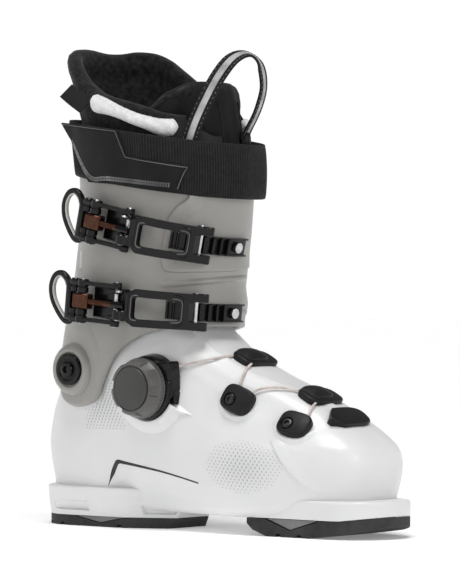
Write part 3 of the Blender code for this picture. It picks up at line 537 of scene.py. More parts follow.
class Finish:
    """A procedural material around one Principled shader, in object coordinates."""

    def __init__(self, name, colour, roughness, **values):
        self.material = bpy.data.materials.new(name)
        self.material.use_nodes = True
        self.tree = self.material.node_tree
        self.shader = self.tree.nodes["Principled BSDF"]
        self.shader.inputs["Base Color"].default_value = (*colour, 1.0)
        self.shader.inputs["Roughness"].default_value = roughness
        for key, value in values.items():
            self.shader.inputs[key.replace("_", " ")].default_value = value
        self.colour = colour
        self.coordinates = self.tree.nodes.new("ShaderNodeTexCoord").outputs["Object"]
        self.normal = None

    def node(self, kind, **values):
        item = self.tree.nodes.new(kind)
        for key, value in values.items():
            if hasattr(item, key):
                setattr(item, key, value)
            else:
                item.inputs[key].default_value = value
        return item

    def noise(self, scale, detail=4.0, stretch=None):
        item = self.node("ShaderNodeTexNoise", Scale=scale, Detail=detail)
        source = self.coordinates
        if stretch:
            mapping = self.node("ShaderNodeMapping")
            mapping.inputs["Scale"].default_value = stretch
            self.tree.links.new(source, mapping.inputs["Vector"])
            source = mapping.outputs["Vector"]
        self.tree.links.new(source, item.inputs["Vector"])
        return item.outputs["Fac"]

    def vary_colour(self, fac, dark, light, low=0.35, high=0.65):
        ramp = self.node("ShaderNodeValToRGB")
        ramp.color_ramp.elements[0].position = low
        ramp.color_ramp.elements[0].color = (*(c * dark for c in self.colour), 1.0)
        ramp.color_ramp.elements[1].position = high
        ramp.color_ramp.elements[1].color = (*(min(c * light, 1.0) for c in self.colour), 1.0)
        self.tree.links.new(fac, ramp.inputs["Fac"])
        self.tree.links.new(ramp.outputs["Color"], self.shader.inputs["Base Color"])
        return self

    def vary_roughness(self, fac, low, high):
        spread = self.node("ShaderNodeMapRange")
        spread.inputs["From Min"].default_value = 0.3
        spread.inputs["From Max"].default_value = 0.7
        spread.inputs["To Min"].default_value = low
        spread.inputs["To Max"].default_value = high
        self.tree.links.new(fac, spread.inputs["Value"])
        self.tree.links.new(spread.outputs["Result"], self.shader.inputs["Roughness"])
        return self

    def bump(self, fac, strength, distance):
        item = self.node("ShaderNodeBump", Strength=strength, Distance=distance)
        self.tree.links.new(fac, item.inputs["Height"])
        if self.normal is not None:
            self.tree.links.new(self.normal, item.inputs["Normal"])
        self.normal = item.outputs["Normal"]
        self.tree.links.new(self.normal, self.shader.inputs["Normal"])
        return self

    def attribute(self, name):
        return self.node("ShaderNodeAttribute", attribute_name=name).outputs["Vector"]

    def wave(self, vector, scale, direction, distortion):
        item = self.node("ShaderNodeTexWave", Scale=scale, Distortion=distortion)
        item.bands_direction = direction
        self.tree.links.new(vector, item.inputs["Vector"])
        return item.outputs["Fac"]


def plastic(name, colour, roughness, grain=1800.0, strength=0.08, coat=0.0, subsurface=0.0,
            tone=(0.96, 1.04), gloss=0.5):
    """Moulded plastic: a faint mottle in tone and gloss, and a fine moulded grain."""
    finish = Finish(name, colour, roughness, Coat_Weight=coat, Coat_Roughness=0.12,
                    Subsurface_Weight=subsurface)
    finish.shader.inputs["Subsurface Scale"].default_value = 0.004
    finish.shader.inputs["Specular IOR Level"].default_value = gloss
    finish.vary_colour(finish.noise(38.0), *tone)
    finish.vary_roughness(finish.noise(150.0), roughness * 0.85, roughness * 1.18)
    return finish.bump(finish.noise(grain, 2.0), strength, 0.00006).material


def metal(name, colour, roughness):
    """Metal with fine drawn lines and small stains."""
    stretch = (1.0, 1.0, 12.0)
    finish = Finish(name, colour, roughness, Metallic=1.0)
    finish.vary_colour(finish.noise(220.0), 0.82, 1.12)
    finish.vary_roughness(finish.noise(420.0, 3.0, stretch), roughness * 0.75, roughness * 1.35)
    return finish.bump(finish.noise(900.0, 2.0, stretch), 0.12, 0.00005).material


def fleece(name, colour, sheen, spread):
    """Brushed fleece: soft sheen, and a pile that lies in patches."""
    finish = Finish(name, colour, 0.95, Sheen_Weight=sheen, Sheen_Roughness=0.45)
    finish.shader.inputs["Specular IOR Level"].default_value = 0.2
    finish.vary_colour(finish.noise(260.0, 6.0), *spread)
    finish.bump(finish.noise(420.0, 6.0), 0.7, 0.0007)
    return finish.bump(finish.noise(2600.0, 3.0, (1.0, 1.0, 0.4)), 0.6, 0.00025).material


def knit(name, colour, sheen=0.15, scale=820.0):
    """Close-knit fabric: crossing threads with a little fuzz."""
    finish = Finish(name, colour, 0.85, Sheen_Weight=sheen, Sheen_Roughness=0.5)
    finish.shader.inputs["Specular IOR Level"].default_value = 0.25
    finish.vary_colour(finish.noise(90.0, 5.0), 0.75, 1.3)
    finish.bump(finish.wave(finish.coordinates, scale * 0.5, "DIAGONAL", 1.5), 0.35, 0.00012)
    finish.bump(finish.wave(finish.coordinates, scale * 0.5, "Z", 1.5), 0.35, 0.00012)
    return finish.bump(finish.noise(1900.0, 3.0), 0.4, 0.0001).material


def webbing(name, colour):
    """Woven strap: its threads follow the along/across positions stored on each point."""
    rib = 186.0
    finish = Finish(name, colour, 0.72, Sheen_Weight=0.04, Sheen_Roughness=0.5)
    finish.shader.inputs["Specular IOR Level"].default_value = 0.22
    place = finish.attribute("weave")
    finish.vary_colour(finish.wave(place, rib, "X", 0.3), 0.45, 2.6, 0.2, 0.9)
    finish.vary_roughness(finish.noise(240.0, 5.0), 0.6, 0.85)
    finish.bump(finish.wave(place, 260.0, "Y", 0.4), 0.5, 0.00018)
    finish.bump(finish.wave(place, rib, "X", 0.3), 0.6, 0.0003)
    return finish.bump(finish.noise(2300.0, 2.0), 0.3, 0.00008).material


WHITE_PLASTIC = plastic("white_shell_plastic", srgb(224, 224, 224), 0.34, 1500.0, 0.05, 0.08, 0.06,
                        (0.985, 1.01))
GREY_PLASTIC = plastic("warm_grey_cuff_plastic", srgb(152, 150, 146), 0.38, 1500.0, 0.06, 0.06, 0.05,
                       (0.96, 1.03))
BLACK_PLASTIC = plastic("black_buckle_plastic", srgb(13, 13, 14), 0.2, 1300.0, 0.05, 0.1, 0.0,
                        (0.75, 1.3), 0.22)
MATTE_BLACK = plastic("matte_black_plastic", srgb(24, 24, 25), 0.45, 900.0, 0.2, 0.0, 0.0, (0.8, 1.25), 0.25)
DARK_GREY = plastic("dark_grey_plastic", srgb(86, 85, 83), 0.4, 1100.0, 0.15, 0.05, 0.0, (0.85, 1.15))
MID_GREY = plastic("mid_grey_rubber", srgb(116, 116, 116), 0.6, 700.0, 0.25, 0.0, 0.0, (0.85, 1.12))
RUBBER = plastic("black_tread_rubber", srgb(44, 44, 44), 0.75, 520.0, 0.4, 0.0, 0.0, (0.7, 1.35))
STEEL = metal("satin_steel", srgb(196, 196, 198), 0.26)
DARK_STEEL = metal("dark_steel", srgb(62, 62, 64), 0.34)
COPPER = metal("dark_copper", srgb(86, 58, 46), 0.38)
CAP_GREY = plastic("dial_cap_plastic", srgb(54, 53, 52), 0.4, 1000.0, 0.1, 0.05, 0.0, (0.85, 1.15))
BLACK_FLEECE = fleece("black_liner_fleece", srgb(20, 20, 20), 0.16, (0.3, 2.4))
WHITE_FLEECE = fleece("white_trim_fleece", srgb(228, 228, 228), 0.3, (0.88, 1.05))
BLACK_KNIT = knit("black_liner_fabric", srgb(20, 20, 20), 0.06)
STRAP_WEAVE = webbing("black_strap_webbing", srgb(18, 18, 18))
PALE_THREAD = knit("pale_thread", srgb(168, 168, 170), 0.1, 1600.0)
LACE_BRAID = knit("pale_braided_lace", srgb(205, 194, 188), 0.1, 2400.0)
BLACK_PAINT = plastic("black_print", srgb(20, 17, 16), 0.4, 1500.0, 0.05, 0.05, 0.0, (0.85, 1.15))
# Pale grey for the mark on the cuff, and for the painted highlight along the pull rings' inner edge.
PALE_MARK_AND_HIGHLIGHT_GREY = plastic("pale_grey_mark_and_highlight", srgb(196, 194, 190), 0.5, 1500.0, 0.05)
# A grey darker than the shell, painted into the dimples as the shade that falls inside them.
DIMPLE_SHADE_GREY = plastic("shell_dimple", srgb(188, 188, 190), 0.42, 1500.0, 0.05)


# ---------------------------------------------------------------- a surface that trims and marks lie on
class Surface:
    """Nearest points and smooth normals of a mesh in the frame."""

    def __init__(self, mesh):
        self.points = [v.co.copy() for v in mesh.vertices]
        self.normals = [v.normal.copy() for v in mesh.vertices]
        self.faces = [tuple(p.vertices) for p in mesh.polygons]
        self.tree = BVHTree.FromPolygons(self.points, self.faces)

    def snap(self, point):
        spot, flat, face, _ = self.tree.find_nearest(point)
        if len(self.faces[face]) > 6:
            return spot, flat
        total = Vector()
        for k in self.faces[face]:
            total += self.normals[k] / ((self.points[k] - spot).length + 1e-5)
        return spot, total.normalized()

    def lift(self, point, height):
        spot, normal = self.snap(point)
        return spot + normal * height * 0.001


def drape(name, surface, path, profile, taper=None, depth=1.2):
    """A moulded strip along a path on a surface; the profile holds (side, lift) millimetres across it."""
    points = [surface.snap(p) for p in path]
    rings = []
    for k, (place, normal) in enumerate(points):
        ahead = (points[min(k + 1, len(points) - 1)][0] - points[max(k - 1, 0)][0]).normalized()
        side = ahead.cross(normal).normalized()
        wide, tall = taper(k / (len(points) - 1)) if taper else (1.0, 1.0)
        ring = []
        for across, rise in profile:
            spot, up = surface.snap(place + side * across * wide * 0.001)
            ring.append(spot + up * (rise * tall if rise > 0.0 else rise) * 0.001)
        for across in (profile[-1][0], profile[0][0]):
            spot, up = surface.snap(place + side * across * wide * 0.001)
            ring.append(spot - up * depth * 0.001)
        rings.append(ring)
    return loft(name, rings, True, 35.0)


def dimples(name, surface, centres, size):
    """Small four-sided dimples with raised corners, on a surface near the given points."""
    bm = bmesh.new()
    for centre, share in centres:
        spot, normal = surface.snap(centre)
        along = Vector((1.0, 0.0, 0.0))
        along = (along - normal * along.dot(normal)).normalized()
        across = normal.cross(along)
        half = size * share * 0.001
        corners = [spot + along * half * 0.8, spot + across * half,
                   spot - along * half * 0.8, spot - across * half]
        top = [bm.verts.new(p + normal * 0.00016) for p in corners]
        low = [bm.verts.new(p - normal * 0.0006) for p in corners]
        middle = bm.verts.new(spot + normal * 0.00002)
        for i in range(4):
            j = (i + 1) % 4
            bm.faces.new((top[i], top[j], middle))
            bm.faces.new((low[j], low[i], top[i], top[j]))
        bm.faces.new(low[::-1])
    return finish_mesh(name, bm, 10.0)


# ---------------------------------------------------------------- lower shell
def arch_facet(x, z):
    """How far the side is scooped in below the slanted line over the heel's front and the arch."""
    line_z = 45.2 - 0.152 * (x - 88.0)
    line_x = 77.5 + 0.63 * (z - 28.0)
    below = min(line_z - z, 14.0)
    if below <= 0.0 or x < line_x:
        return 0.0
    return 0.22 * below * ease((x - line_x) / 5.0) * ease((186.0 - x) / 40.0) * ease(below / 2.0)


def shell_side(angle, z):
    """The visible shell's offset from the section at an angle and a height."""
    x = outline(angle, z)[0]
    foot = min(max((z - 12.0) / 6.0, 0.0), 1.0)
    rounding = -5.0 * (1.0 - math.sqrt(1.0 - (1.0 - foot) ** 2))
    return rounding - arch_facet(x, z) * (1.0 if 15.0 < angle % 360.0 < 345.0 else 0.0)


def lug_plan(low, high, round_back, half, inset=0.0, nose=None):
    """Plan outline of a sole block: round at the back or the front, tapered to a nose where asked."""
    half -= inset
    low += inset
    high -= inset
    start, square = (90.0, high) if round_back else (-90.0, low)
    centre = low + half if round_back else high - half
    arc = []
    for k in range(25):
        turn = math.radians(start + 180.0 * k / 24)
        arc.append((centre + half * math.cos(turn), half * math.sin(turn)))
    if nose:
        shoulder, tip = nose
        tip *= half / LUG_HALF
        return [(shoulder, -half), (high, -tip), (high, tip), (shoulder, half), *arc]
    side = 1.0 if round_back else -1.0
    return [(square, -side * half), (square, side * half), *arc]


def heel_widening(share):
    """How much wider than its foot the heel block is, at a share of its height."""
    return HEEL_FLARE[0] * share + HEEL_FLARE[1] * share ** 2


def flare_at(z):
    return 1.0 + heel_widening((z - HEEL_BASE) / (HEEL_TOP - HEEL_BASE)) / LUG_HALF


def lug(name, low, high, round_back, top, bottom, widening=lambda share: 0.0, nose=None):
    """A sole block with a rounded top edge; bottom gives a height for each x."""
    rings = []
    for share in (0.0, 0.2, 0.4, 0.6, 0.8):
        plan = lug_plan(low, high, round_back, LUG_HALF + widening(share), 0.0, nose)
        rings.append([mm(x, y, bottom(x) + (top - bottom(x)) * share) for x, y in plan])
    for k in range(5):
        turn = math.pi / 2 * k / 4
        inset = 1.4 * (1 - math.cos(turn))
        drop = 1.4 * (1 - math.sin(turn))
        plan = lug_plan(low, high, round_back, LUG_HALF + widening(1.0), inset, nose)
        rings.append([mm(x, y, top - drop) for x, y in plan])
    return loft(name, rings)


def flank_pocket(start, end, z_low, z_high, depth):
    """Cutters for a shallow pocket in both flanks of the heel block, between two points of its plan."""
    along = (end - start).normalized()
    out = Vector((-along.y, along.x))
    tools = []
    for sign in (-1.0, 1.0):
        rings = []
        for reach, shrink in ((5.0, 0.0), (0.0, 0.0), (-depth, 2.0)):
            near = start + along * shrink + out * reach
            far = end - along * shrink + out * reach
            low = z_low + 0.5 * shrink
            high = z_high - 0.5 * shrink
            rings.append([mm(spot.x, sign * spot.y * flare_at(z), z)
                          for spot, z in ((near, low), (far, low), (far, high), (near, high))])
        tools.append(loft("pocket", rings))
    return tools


def build_shell():
    """The lower shell, the heel block with its pockets, and the toe block."""
    columns = 300
    angles = [360.0 * k / columns for k in range(columns)]
    levels = [12.0 + 0.5 * k for k in range(6)] + [15.5 + 1.55 * k for k in range(60)]
    levels = [z for z in levels if z <= 107.0]
    rings = [[mm(*outline(a, z, shell_side(a, z)), z) for a in angles] for z in levels]
    low = levels[-1]
    tops = [shell_top(outline(a, 122.0)[0]) for a in angles]
    for k in range(1, 19):
        rings.append([mm(*outline(a, low + (t - low) * k / 18), low + (t - low) * k / 18)
                      for a, t in zip(angles, tops)])
    for share in (1.0, 0.75, 0.5, 0.25):
        rings.append([mm(*outline(a, low + (t - low) * share, -SHELL_WALL), low + (t - low) * share)
                      for a, t in zip(angles, tops)])
    for z in (104.0, 98.0, 92.0, 85.0, 78.0, 71.0, 62.0, 50.0, 38.0, 26.0, SHELL_FLOOR):
        lift = 4.0 * ease((z - 50.0) / 20.0) * ease((112.0 - z) / 15.0)
        rings.append([mm(*outline(a, z + lift, -SHELL_WALL), z) for a in angles])
    shell = piece("shell_look", loft("shell_look", rings), WHITE_PLASTIC, "shell", "shell_plastic",
                  "lower_shell")
    surface = Surface(shell.data)
    heel = lug("heel_block", 0.0, HEEL_FRONT, True, HEEL_TOP, lambda x: HEEL_BASE, heel_widening, HEEL_NOSE)
    undercut = [(122.0, HEEL_BASE), (128.0, 16.0), (131.0, 28.0), (142.0, 30.0), (142.0, 5.0), (122.0, 5.0)]
    heel_front = loft("heel_front", [[mm(x, y, z) for x, z in undercut] for y in (-60.0, 60.0)])
    pockets = flank_pocket(Vector((22.0, LUG_HALF)), Vector((58.0, LUG_HALF)), 10.8, 18.2, 2.8)
    pockets += flank_pocket(Vector((101.0, 27.5)), Vector((122.5, 16.75)), 9.6, 16.0, 2.2)
    heel_block = piece("heel_block_look", heel, WHITE_PLASTIC, "shell", "shell_plastic")
    boolean(heel_block, [heel_front, *pockets], "DIFFERENCE")
    smooth_again(heel_block, WHITE_PLASTIC)
    boolean(shell, pockets[:2], "DIFFERENCE")
    smooth_again(shell, WHITE_PLASTIC, 40.0)
    toe = lug("toe_block", 199.0, SOLE_LENGTH, False, 25.0,
              lambda x: 12.35 + 4.0 * max(x - 276.0, 0.0) / 34.0)
    piece("toe_block_look", toe, WHITE_PLASTIC, "shell", "shell_plastic")
    return surface


def mirrored(points, side):
    return [Vector((p.x, p.y * side, p.z)) for p in points]


def dimple_field():
    """The x, z and size of the dimples over the heel and over the ball of the foot."""
    spots = []
    for row in range(-8, 9):
        for column in range(-9, 10):
            x = 79.0 + 3.3 * column + (1.65 if row % 2 else 0.0) - 0.55 * row
            z = 86.0 + 2.1 * row
            share = 1.0 - max(abs(x - 79.0) / 21.0, abs(z - 86.0) / 19.0) ** 1.6
            clear = math.hypot(x - DIAL[0], z - DIAL[1]) > 33.0 and z < edge_height(x, CUFF_EDGE) - 4.0
            if share > 0.12 and clear:
                spots.append((x, z, 0.35 + 0.65 * share))
    for row in range(-9, 10):
        for column in range(-11, 12):
            x = 205.0 + 3.4 * column + (1.7 if row % 2 else 0.0)
            z = 46.5 + 2.25 * row - 0.06 * (x - 205.0)
            share = 1.0 - math.hypot((x - 205.0) / 34.0, (z - 46.5) / 19.5) ** 1.7
            if share > 0.1:
                spots.append((x, z, 0.3 + 0.7 * share))
    return spots


def build_shell_details(surface):
    """Printed line, dimple fields, overlap edges and rims that are moulded on the lower shell."""
    flap = [(150.0, -21.2, 132.5), (160.0, -20.5, 124.7), (175.0, -19.8, 117.0), (189.7, -18.3, 109.3),
            (203.0, -15.5, 104.5), (216.0, -11.5, 99.5), (231.0, -3.5, 92.8), (245.2, 4.5, 86.2),
            (254.0, 10.0, 81.0)]
    path = design_path(flap, 10)
    fade = lambda t: (1.0, (0.2 + 0.8 * ease((t - 0.05) / 0.15)) * ease((1.0 - t) / 0.12))
    step = [(-0.7, -0.3), (-0.1, 0.85), (0.5, 1.15), (2.0, 1.05), (6.0, 0.45), (11.0, -0.3)]
    edge = drape("flap_edge", surface, path, step, fade)
    piece("shell_flap_edge", edge, WHITE_PLASTIC, "shell", "shell_plastic")
    crease = [(223.0, -40.0, 66.0), (229.0, -42.0, 60.0), (235.0, -43.0, 52.0), (241.5, -41.5, 44.0),
              (250.0, -38.0, 35.5), (262.0, -34.0, 28.0)]
    path = design_path(crease, 10)
    soft = lambda t: (1.0, ease(t / 0.15) * ease((1.0 - t) / 0.3))
    swell = [(-9.0, -0.25), (-5.0, 0.5), (-1.2, 1.25), (0.0, 1.3), (0.8, 0.6), (1.3, -0.3)]
    ridge = drape("toe_crease", surface, path, swell, soft)
    piece("shell_toe_crease", ridge, WHITE_PLASTIC, "shell", "shell_plastic")
    for side, name in ((1.0, "lateral"), (-1.0, "medial")):
        stripe = [(77.0, -40.0, 28.5), (82.5, -42.0, 37.5), (87.0, -43.0, 44.4), (89.5, -43.0, 46.0),
                  (95.0, -43.0, 45.3), (125.0, -42.0, 40.5), (163.5, -43.0, 34.0)]
        path = mirrored(design_path(stripe, 8), side)
        thin = lambda t: (0.15 + 1.25 * ease(t / 0.22) * (1.0 - 0.75 * ease((t - 0.35) / 0.65)), 1.0)
        film = [(-1.2, 0.05), (-1.15, 0.12), (1.15, 0.12), (1.2, 0.05)]
        line = drape("stripe", surface, path, film, thin, 0.3)
        piece(f"shell_stripe_{name}", line, BLACK_PAINT, "shell", "black_plastic")
        centres = [(mm(x, -46.0 * side, z), share) for x, z, share in dimple_field()]
        # The dimples take a darker grey than the shell: painted shade inside each pit.
        piece(f"shell_dimples_{name}", dimples("dimples", surface, centres, 1.25), DIMPLE_SHADE_GREY, "shell",
              "shell_plastic")
    for name in ("lateral_guide_upper", "lateral_guide_lower"):
        x, y, half_x, half_y, _, spin = GUIDES[name]
        place = surface_frame(x, y, spin)
        turns = [math.radians(-205.0 + 230.0 * k / 32) for k in range(33)]
        path = [at(place, (half_x + 1.6) * math.cos(t), (half_y + 1.6) * math.sin(t), 0.0) for t in turns]
        fade = lambda t: (1.0, ease(t / 0.25) * ease((1.0 - t) / 0.25))
        lip = [(-3.0, -0.2), (-1.6, 1.0), (-0.6, 1.7), (0.5, 1.8), (1.4, 1.2), (3.4, -0.2)]
        rim = drape("rim", surface, path, lip, fade)
        piece("shell_rim_" + name.split("_")[-1], rim, WHITE_PLASTIC, "shell", "shell_plastic")
    turns = [math.radians(150.0 + 182.0 * k / 60) for k in range(61)]
    path = [mm(DIAL[0] + 26.3 * math.cos(turn), -47.0, DIAL[1] + 26.3 * math.sin(turn)) for turn in turns]
    fade = lambda t: (0.7 + 0.3 * ease(t / 0.3), ease(t / 0.3) * (0.75 + 0.25 * ease((t - 0.5) / 0.5)))
    collar = [(-5.2, -0.3), (-4.2, 3.2), (-3.4, 4.6), (-1.8, 4.7), (1.8, 2.2), (6.0, -0.3)]
    bezel = drape("bezel", surface, path, collar, fade)
    piece("dial_bezel", bezel, WHITE_PLASTIC, "shell", "shell_plastic")
    fin = [(143.0, -46.0, 84.0), (147.0, -46.0, 83.6), (152.0, -45.5, 82.2), (158.5, -45.0, 80.4)]
    path = design_path(fin, 8)
    point = lambda t: (1.0 - 0.85 * t, 1.0 - 0.85 * t)
    wedge = [(-5.0, -0.3), (-2.2, 1.5), (0.6, 3.6), (1.6, 3.4), (2.4, -0.3)]
    wing = drape("fin", surface, path, wedge, point)
    piece("dial_bezel_fin", wing, WHITE_PLASTIC, "shell", "shell_plastic")


# ---------------------------------------------------------------- instep guides, lace and dial
def superellipse(half_a, half_b, power):
    points = []
    for k in range(48):
        c = math.cos(2 * math.pi * k / 48)
        s = math.sin(2 * math.pi * k / 48)
        a = half_a * math.copysign(abs(c) ** (2 / power), c)
        b = half_b * math.copysign(abs(s) ** (2 / power), s)
        points.append((a, b))
    return points


def pad_on_surface(name, surface, place, half_a, half_b, height, power=4.0, round_edge=2.2, dome=1.0):
    """A rounded pad whose foot follows the surface and whose top is slightly domed."""
    plan = superellipse(half_a, half_b, power)

    def crown(a, b):
        return dome * ((a / half_a) ** 2 + (b / half_b) ** 2) / 2.0

    rings = [[surface.lift(at(place, a, b, 0.0), -0.8) for a, b in plan]]
    for k in range(6):
        turn = math.pi / 2 * k / 5
        shrink = 1.0 - round_edge * (1 - math.cos(turn)) / min(half_a, half_b)
        top = height - round_edge * (1 - math.sin(turn))
        rings.append([at(place, a * shrink, b * shrink, top - crown(a, b)) for a, b in plan])
    for share in (0.66, 0.33, 0.02):
        rings.append([at(place, a * share * 0.8, b * share * 0.8, height - crown(a * share, b * share))
                      for a, b in plan])
    return loft(name, rings, True, 60.0)


def build_guides(surface):
    """The guides on the instep and the lateral side, their screws and the plate near the toe."""
    for name, (x, y, half_x, half_y, height, spin) in GUIDES.items():
        place = surface_frame(x, y, spin)
        if name == "toe_plate":
            mesh = pad_on_surface(name, surface, place, half_x, half_y, height - 0.2, 3.2, 1.5, 1.2)
            item = piece("toe_plate_look", mesh, MATTE_BLACK, "shell", "black_plastic", name)
            facet = moved(place, -5.0, -8.0, height - 1.0)
            facet = facet @ Matrix.Rotation(math.radians(13.0), 4, Vector((1.0, -1.0, 0.0)))
            plan = [(-14.0, -16.0), (3.0, -16.0), (6.0, 4.0), (-14.0, 10.0)]
            tool = rounded_solid("facet", plan, 0.0, 9.0, 0.5, facet)
            corners = (((-22.0, -32.0), (1.5, -32.0), (1.5, -20.5), (-10.2, -6.5), (-22.0, -6.5)),
                       ((1.5, -32.0), (22.0, -32.0), (22.0, -9.0), (10.2, -9.0), (1.5, -20.5)))
            tools = [rounded_solid("corner", plan, -16.0, 12.0, 0.5, place) for plan in corners]
            boolean(item, [tool, *tools], "DIFFERENCE")
            smooth_again(item, MATTE_BLACK)
            continue
        if "instep" in name:
            base = pad_on_surface(name, surface, place, half_x, half_y, 3.4, 3.6, 1.4, 0.8)
            item = piece(name + "_look", base, MATTE_BLACK, "shell", "black_plastic", name)
            bridge = pad_on_surface("bridge", surface, moved(place, -1.2, -3.6, 0.0),
                                    half_x - 2.0, half_y - 5.4, height, 3.4, 2.6, 2.0)
            item = piece(name + "_bridge", bridge, BLACK_PLASTIC, "shell", "black_plastic")
            facet = moved(place, -1.5, -9.0, height - 0.9) @ Matrix.Rotation(math.radians(30.0), 4, "X")
            plan = [(-9.5, -12.0), (5.0, -12.0), (3.0, 1.5), (-8.0, 1.5)]
            tool = rounded_solid("facet", plan, 0.0, 9.0, 0.5, facet)
            boolean(item, [tool], "DIFFERENCE")
            smooth_again(item, MATTE_BLACK)
            continue
        mesh = pad_on_surface(name, surface, place, half_x, half_y, height, 3.4, 2.0, 1.6)
        item = piece(name + "_look", mesh, MATTE_BLACK, "shell", "black_plastic", name)
        facet = moved(place, half_x - 1.5, half_y - 2.0, height - 0.6)
        facet = facet @ Matrix.Rotation(math.radians(28.0), 4, Vector((-1.0, 1.0, 0.0)))
        tool = rounded_solid("facet", rounded_box(12.0, 12.0, 1.0), 0.0, 9.0, 1.0, facet)
        seat = moved(place, -4.0, -2.0, 0.0)
        bore = lathe("bore", ((4.6, 3.9), (4.9, 9.0)), seat, 32)
        boolean(item, [tool, bore], "DIFFERENCE")
        smooth_again(item, MATTE_BLACK)
        head = screw_head("head", 3.9, 1.9, seat @ Matrix.Translation((0.0, 0.0, 0.0041)))
        piece(name + "_screw_look", head, DARK_STEEL, "shell", "steel", name + "_screw")


def smooth_again(item, material, sharp=35.0):
    item.data.shade_smooth()
    item.data.set_sharp_from_angle(angle=math.radians(sharp))
    item.data.materials.clear()
    item.data.materials.append(material)


def lace_route():
    """Points of the taut lace over the instep, the same as in the CAD source."""
    runs = (
        ((175.0, -8.0), (181.0, -8.0), 1),
        ((184.5, -12.0), (190.0, -29.0), 3),
        ((192.5, -34.0), (198.0, -33.0), 1),
        ((202.0, -29.0), (228.0, -11.0), 4),
        ((231.0, -7.0), (237.0, -7.0), 1),
        ((240.0, -12.0), (242.5, -26.0), 3),
        ((242.0, -31.0), (241.0, -33.5), 1),
    )
    route = [mm(137.0, -49.0, 111.5)]
    for k in range(5):
        x = 143.0 + 6.5 * k
        z = 113.0 + 1.6 * k
        route.append(mm(x, lateral_side(x, z, LACE_RADIUS + LACE_LIFT), z))
    for start, end, steps in runs:
        for k in range(steps + 1):
            x = start[0] + (end[0] - start[0]) * k / steps
            y = start[1] + (end[1] - start[1]) * k / steps
            place = surface_frame(x, y)
            route.append(place.translation + place.col[2].to_3d() * (LACE_RADIUS + LACE_LIFT) * 0.001)
    return route


def build_lace():
    path = smooth_path(lace_route(), 6)
    length = 0.0
    rings = []
    for k, (point, (_, side, normal)) in enumerate(zip(path, frames_along(path))):
        length += (point - path[k - 1]).length if k else 0.0
        ring = []
        for i in range(12):
            turn = 2 * math.pi * i / 12
            reach = (LACE_RADIUS + 0.07 * math.sin(3 * turn + length * 2400.0)) * 0.001
            ring.append(point + (side * math.cos(turn) + normal * math.sin(turn)) * reach)
        rings.append(ring)
    piece("lace_look", loft("lace_look", rings), LACE_BRAID, "shell", "lace", "lace_cable")


def build_dial():
    """The fixed base with its port, and the turning grip ring with its plain cap."""
    place = Matrix.Translation(mm(DIAL[0], 0.0, DIAL[1])) @ Matrix.Rotation(math.radians(90.0), 4, "X")

    def grip(turn, row):
        depth = {4: 0.5, 5: 1.5, 6: 1.5, 7: 1.3}.get(row, 0.0)
        return -depth * ease((math.cos(6.0 * turn + 0.8) - 0.5) / 0.12)

    def ticks(turn, row):
        return 0.35 * math.cos(72.0 * turn)

    base_rows = ((23.6, 41.0), (22.8, 46.0), (22.2, 48.5), (21.6, 50.6), (20.6, 51.4), (12.0, 51.4))
    base = lathe("base", base_rows, place, 72)
    port_place = moved(place, 14.5, 11.2, 0.0) @ Matrix.Rotation(math.radians(6), 4, "Z")
    port = rounded_solid("port", rounded_box(8.6, 6.8, 2.2), 41.0, 52.4, 1.8, port_place)
    wedge_place = moved(place, 16.0, 0.5, 0.0)
    wedge = rounded_solid("wedge", rounded_box(7.4, 7.0, 2.0), 41.0, 49.6, 1.4, wedge_place)
    slit_place = moved(place, 23.0, -6.6, 0.0)
    slit = rounded_solid("slit", rounded_box(1.2, 4.4, 0.9), 41.0, 47.4, 0.7, slit_place)
    piece("dial_base_look", joined("dial_base_look", [base, port, wedge, slit]), BLACK_PLASTIC, "shell",
          "black_plastic", "dial_base")
    rows = ((19.4, 52.1), (20.3, 52.6), (20.3, 57.0), (19.9, 57.4), (19.7, 58.2), (18.7, 63.2),
            (18.0, 64.7), (17.2, 65.1), (15.7, 65.1), (15.4, 64.0), (14.0, 64.0))
    ring = lathe("ring", rows, place, 288, grip)
    knurl_rows = ((20.0, 53.3), (20.45, 53.8), (20.45, 56.4), (20.0, 56.9))
    knurl = lathe("knurl", knurl_rows, place, 576, ticks)
    piece("dial_grip_look", joined("dial_grip_look", [ring, knurl], 30.0), DARK_GREY, "dial_grip",
          "grey_plastic", "dial_knob")
    cap_rows = ((14.8, 63.0), (14.8, 65.5), (14.4, 66.0), (13.0, 66.15), (6.0, 66.3), (0.4, 66.35))
    piece("dial_cap_look", lathe("cap", cap_rows, place, 96), CAP_GREY, "dial_grip", "black_plastic",
          "dial_cap")
    refined("dial_spool", MID_GREY, "grey_plastic", 0.0)


# ---------------------------------------------------------------- sole
def build_sole():
    for name in ("heel_sole_pad", "toe_sole_pad"):
        refined(name, RUBBER, "sole_rubber", 0.6)
    for name in ("heel_sole_core", "toe_sole_core"):
        refined(name, MID_GREY, "grey_plastic", 0.2)
    for name in ("heel_sole_screw_lateral", "heel_sole_screw_medial", "toe_sole_screw_lateral",
                 "toe_sole_screw_medial"):
        refined(name, STEEL, "steel", 0.25)
    refined("boot_board", MID_GREY, "grey_plastic", 1.0)


# ---------------------------------------------------------------- cuff
def build_cuff():
    """The cuff's shell, up to a line under the strap."""
    columns = 288
    angles = [360.0 * k / columns for k in range(columns)]
    lows = [meet_edge(a, lambda x: edge_height(x, CUFF_EDGE_FINE)) for a in angles]
    highs = [meet_edge(a, lambda x: strap_middle(x) + 9.0) for a in angles]

    def pair(column, share):
        angle, low, high = column
        z = low + (high - low) * share
        return cuff_point(angle, z, CUFF_WALL), cuff_point(angle, z, 0.0)

    outer, inner = two_grids([(k / 63) ** 1.25 for k in range(64)], list(zip(angles, lows, highs)), pair)
    cuff = piece("cuff_look", shell_sheet("cuff_look", outer, inner), GREY_PLASTIC, "cuff", "cuff_plastic",
                 "cuff_shell")
    return Surface(cuff.data)


CUFF_EDGE_FINE = [(p.x, p.y) for p in smooth_path([(x, z, 0.0) for x, z in CUFF_EDGE], 6)]


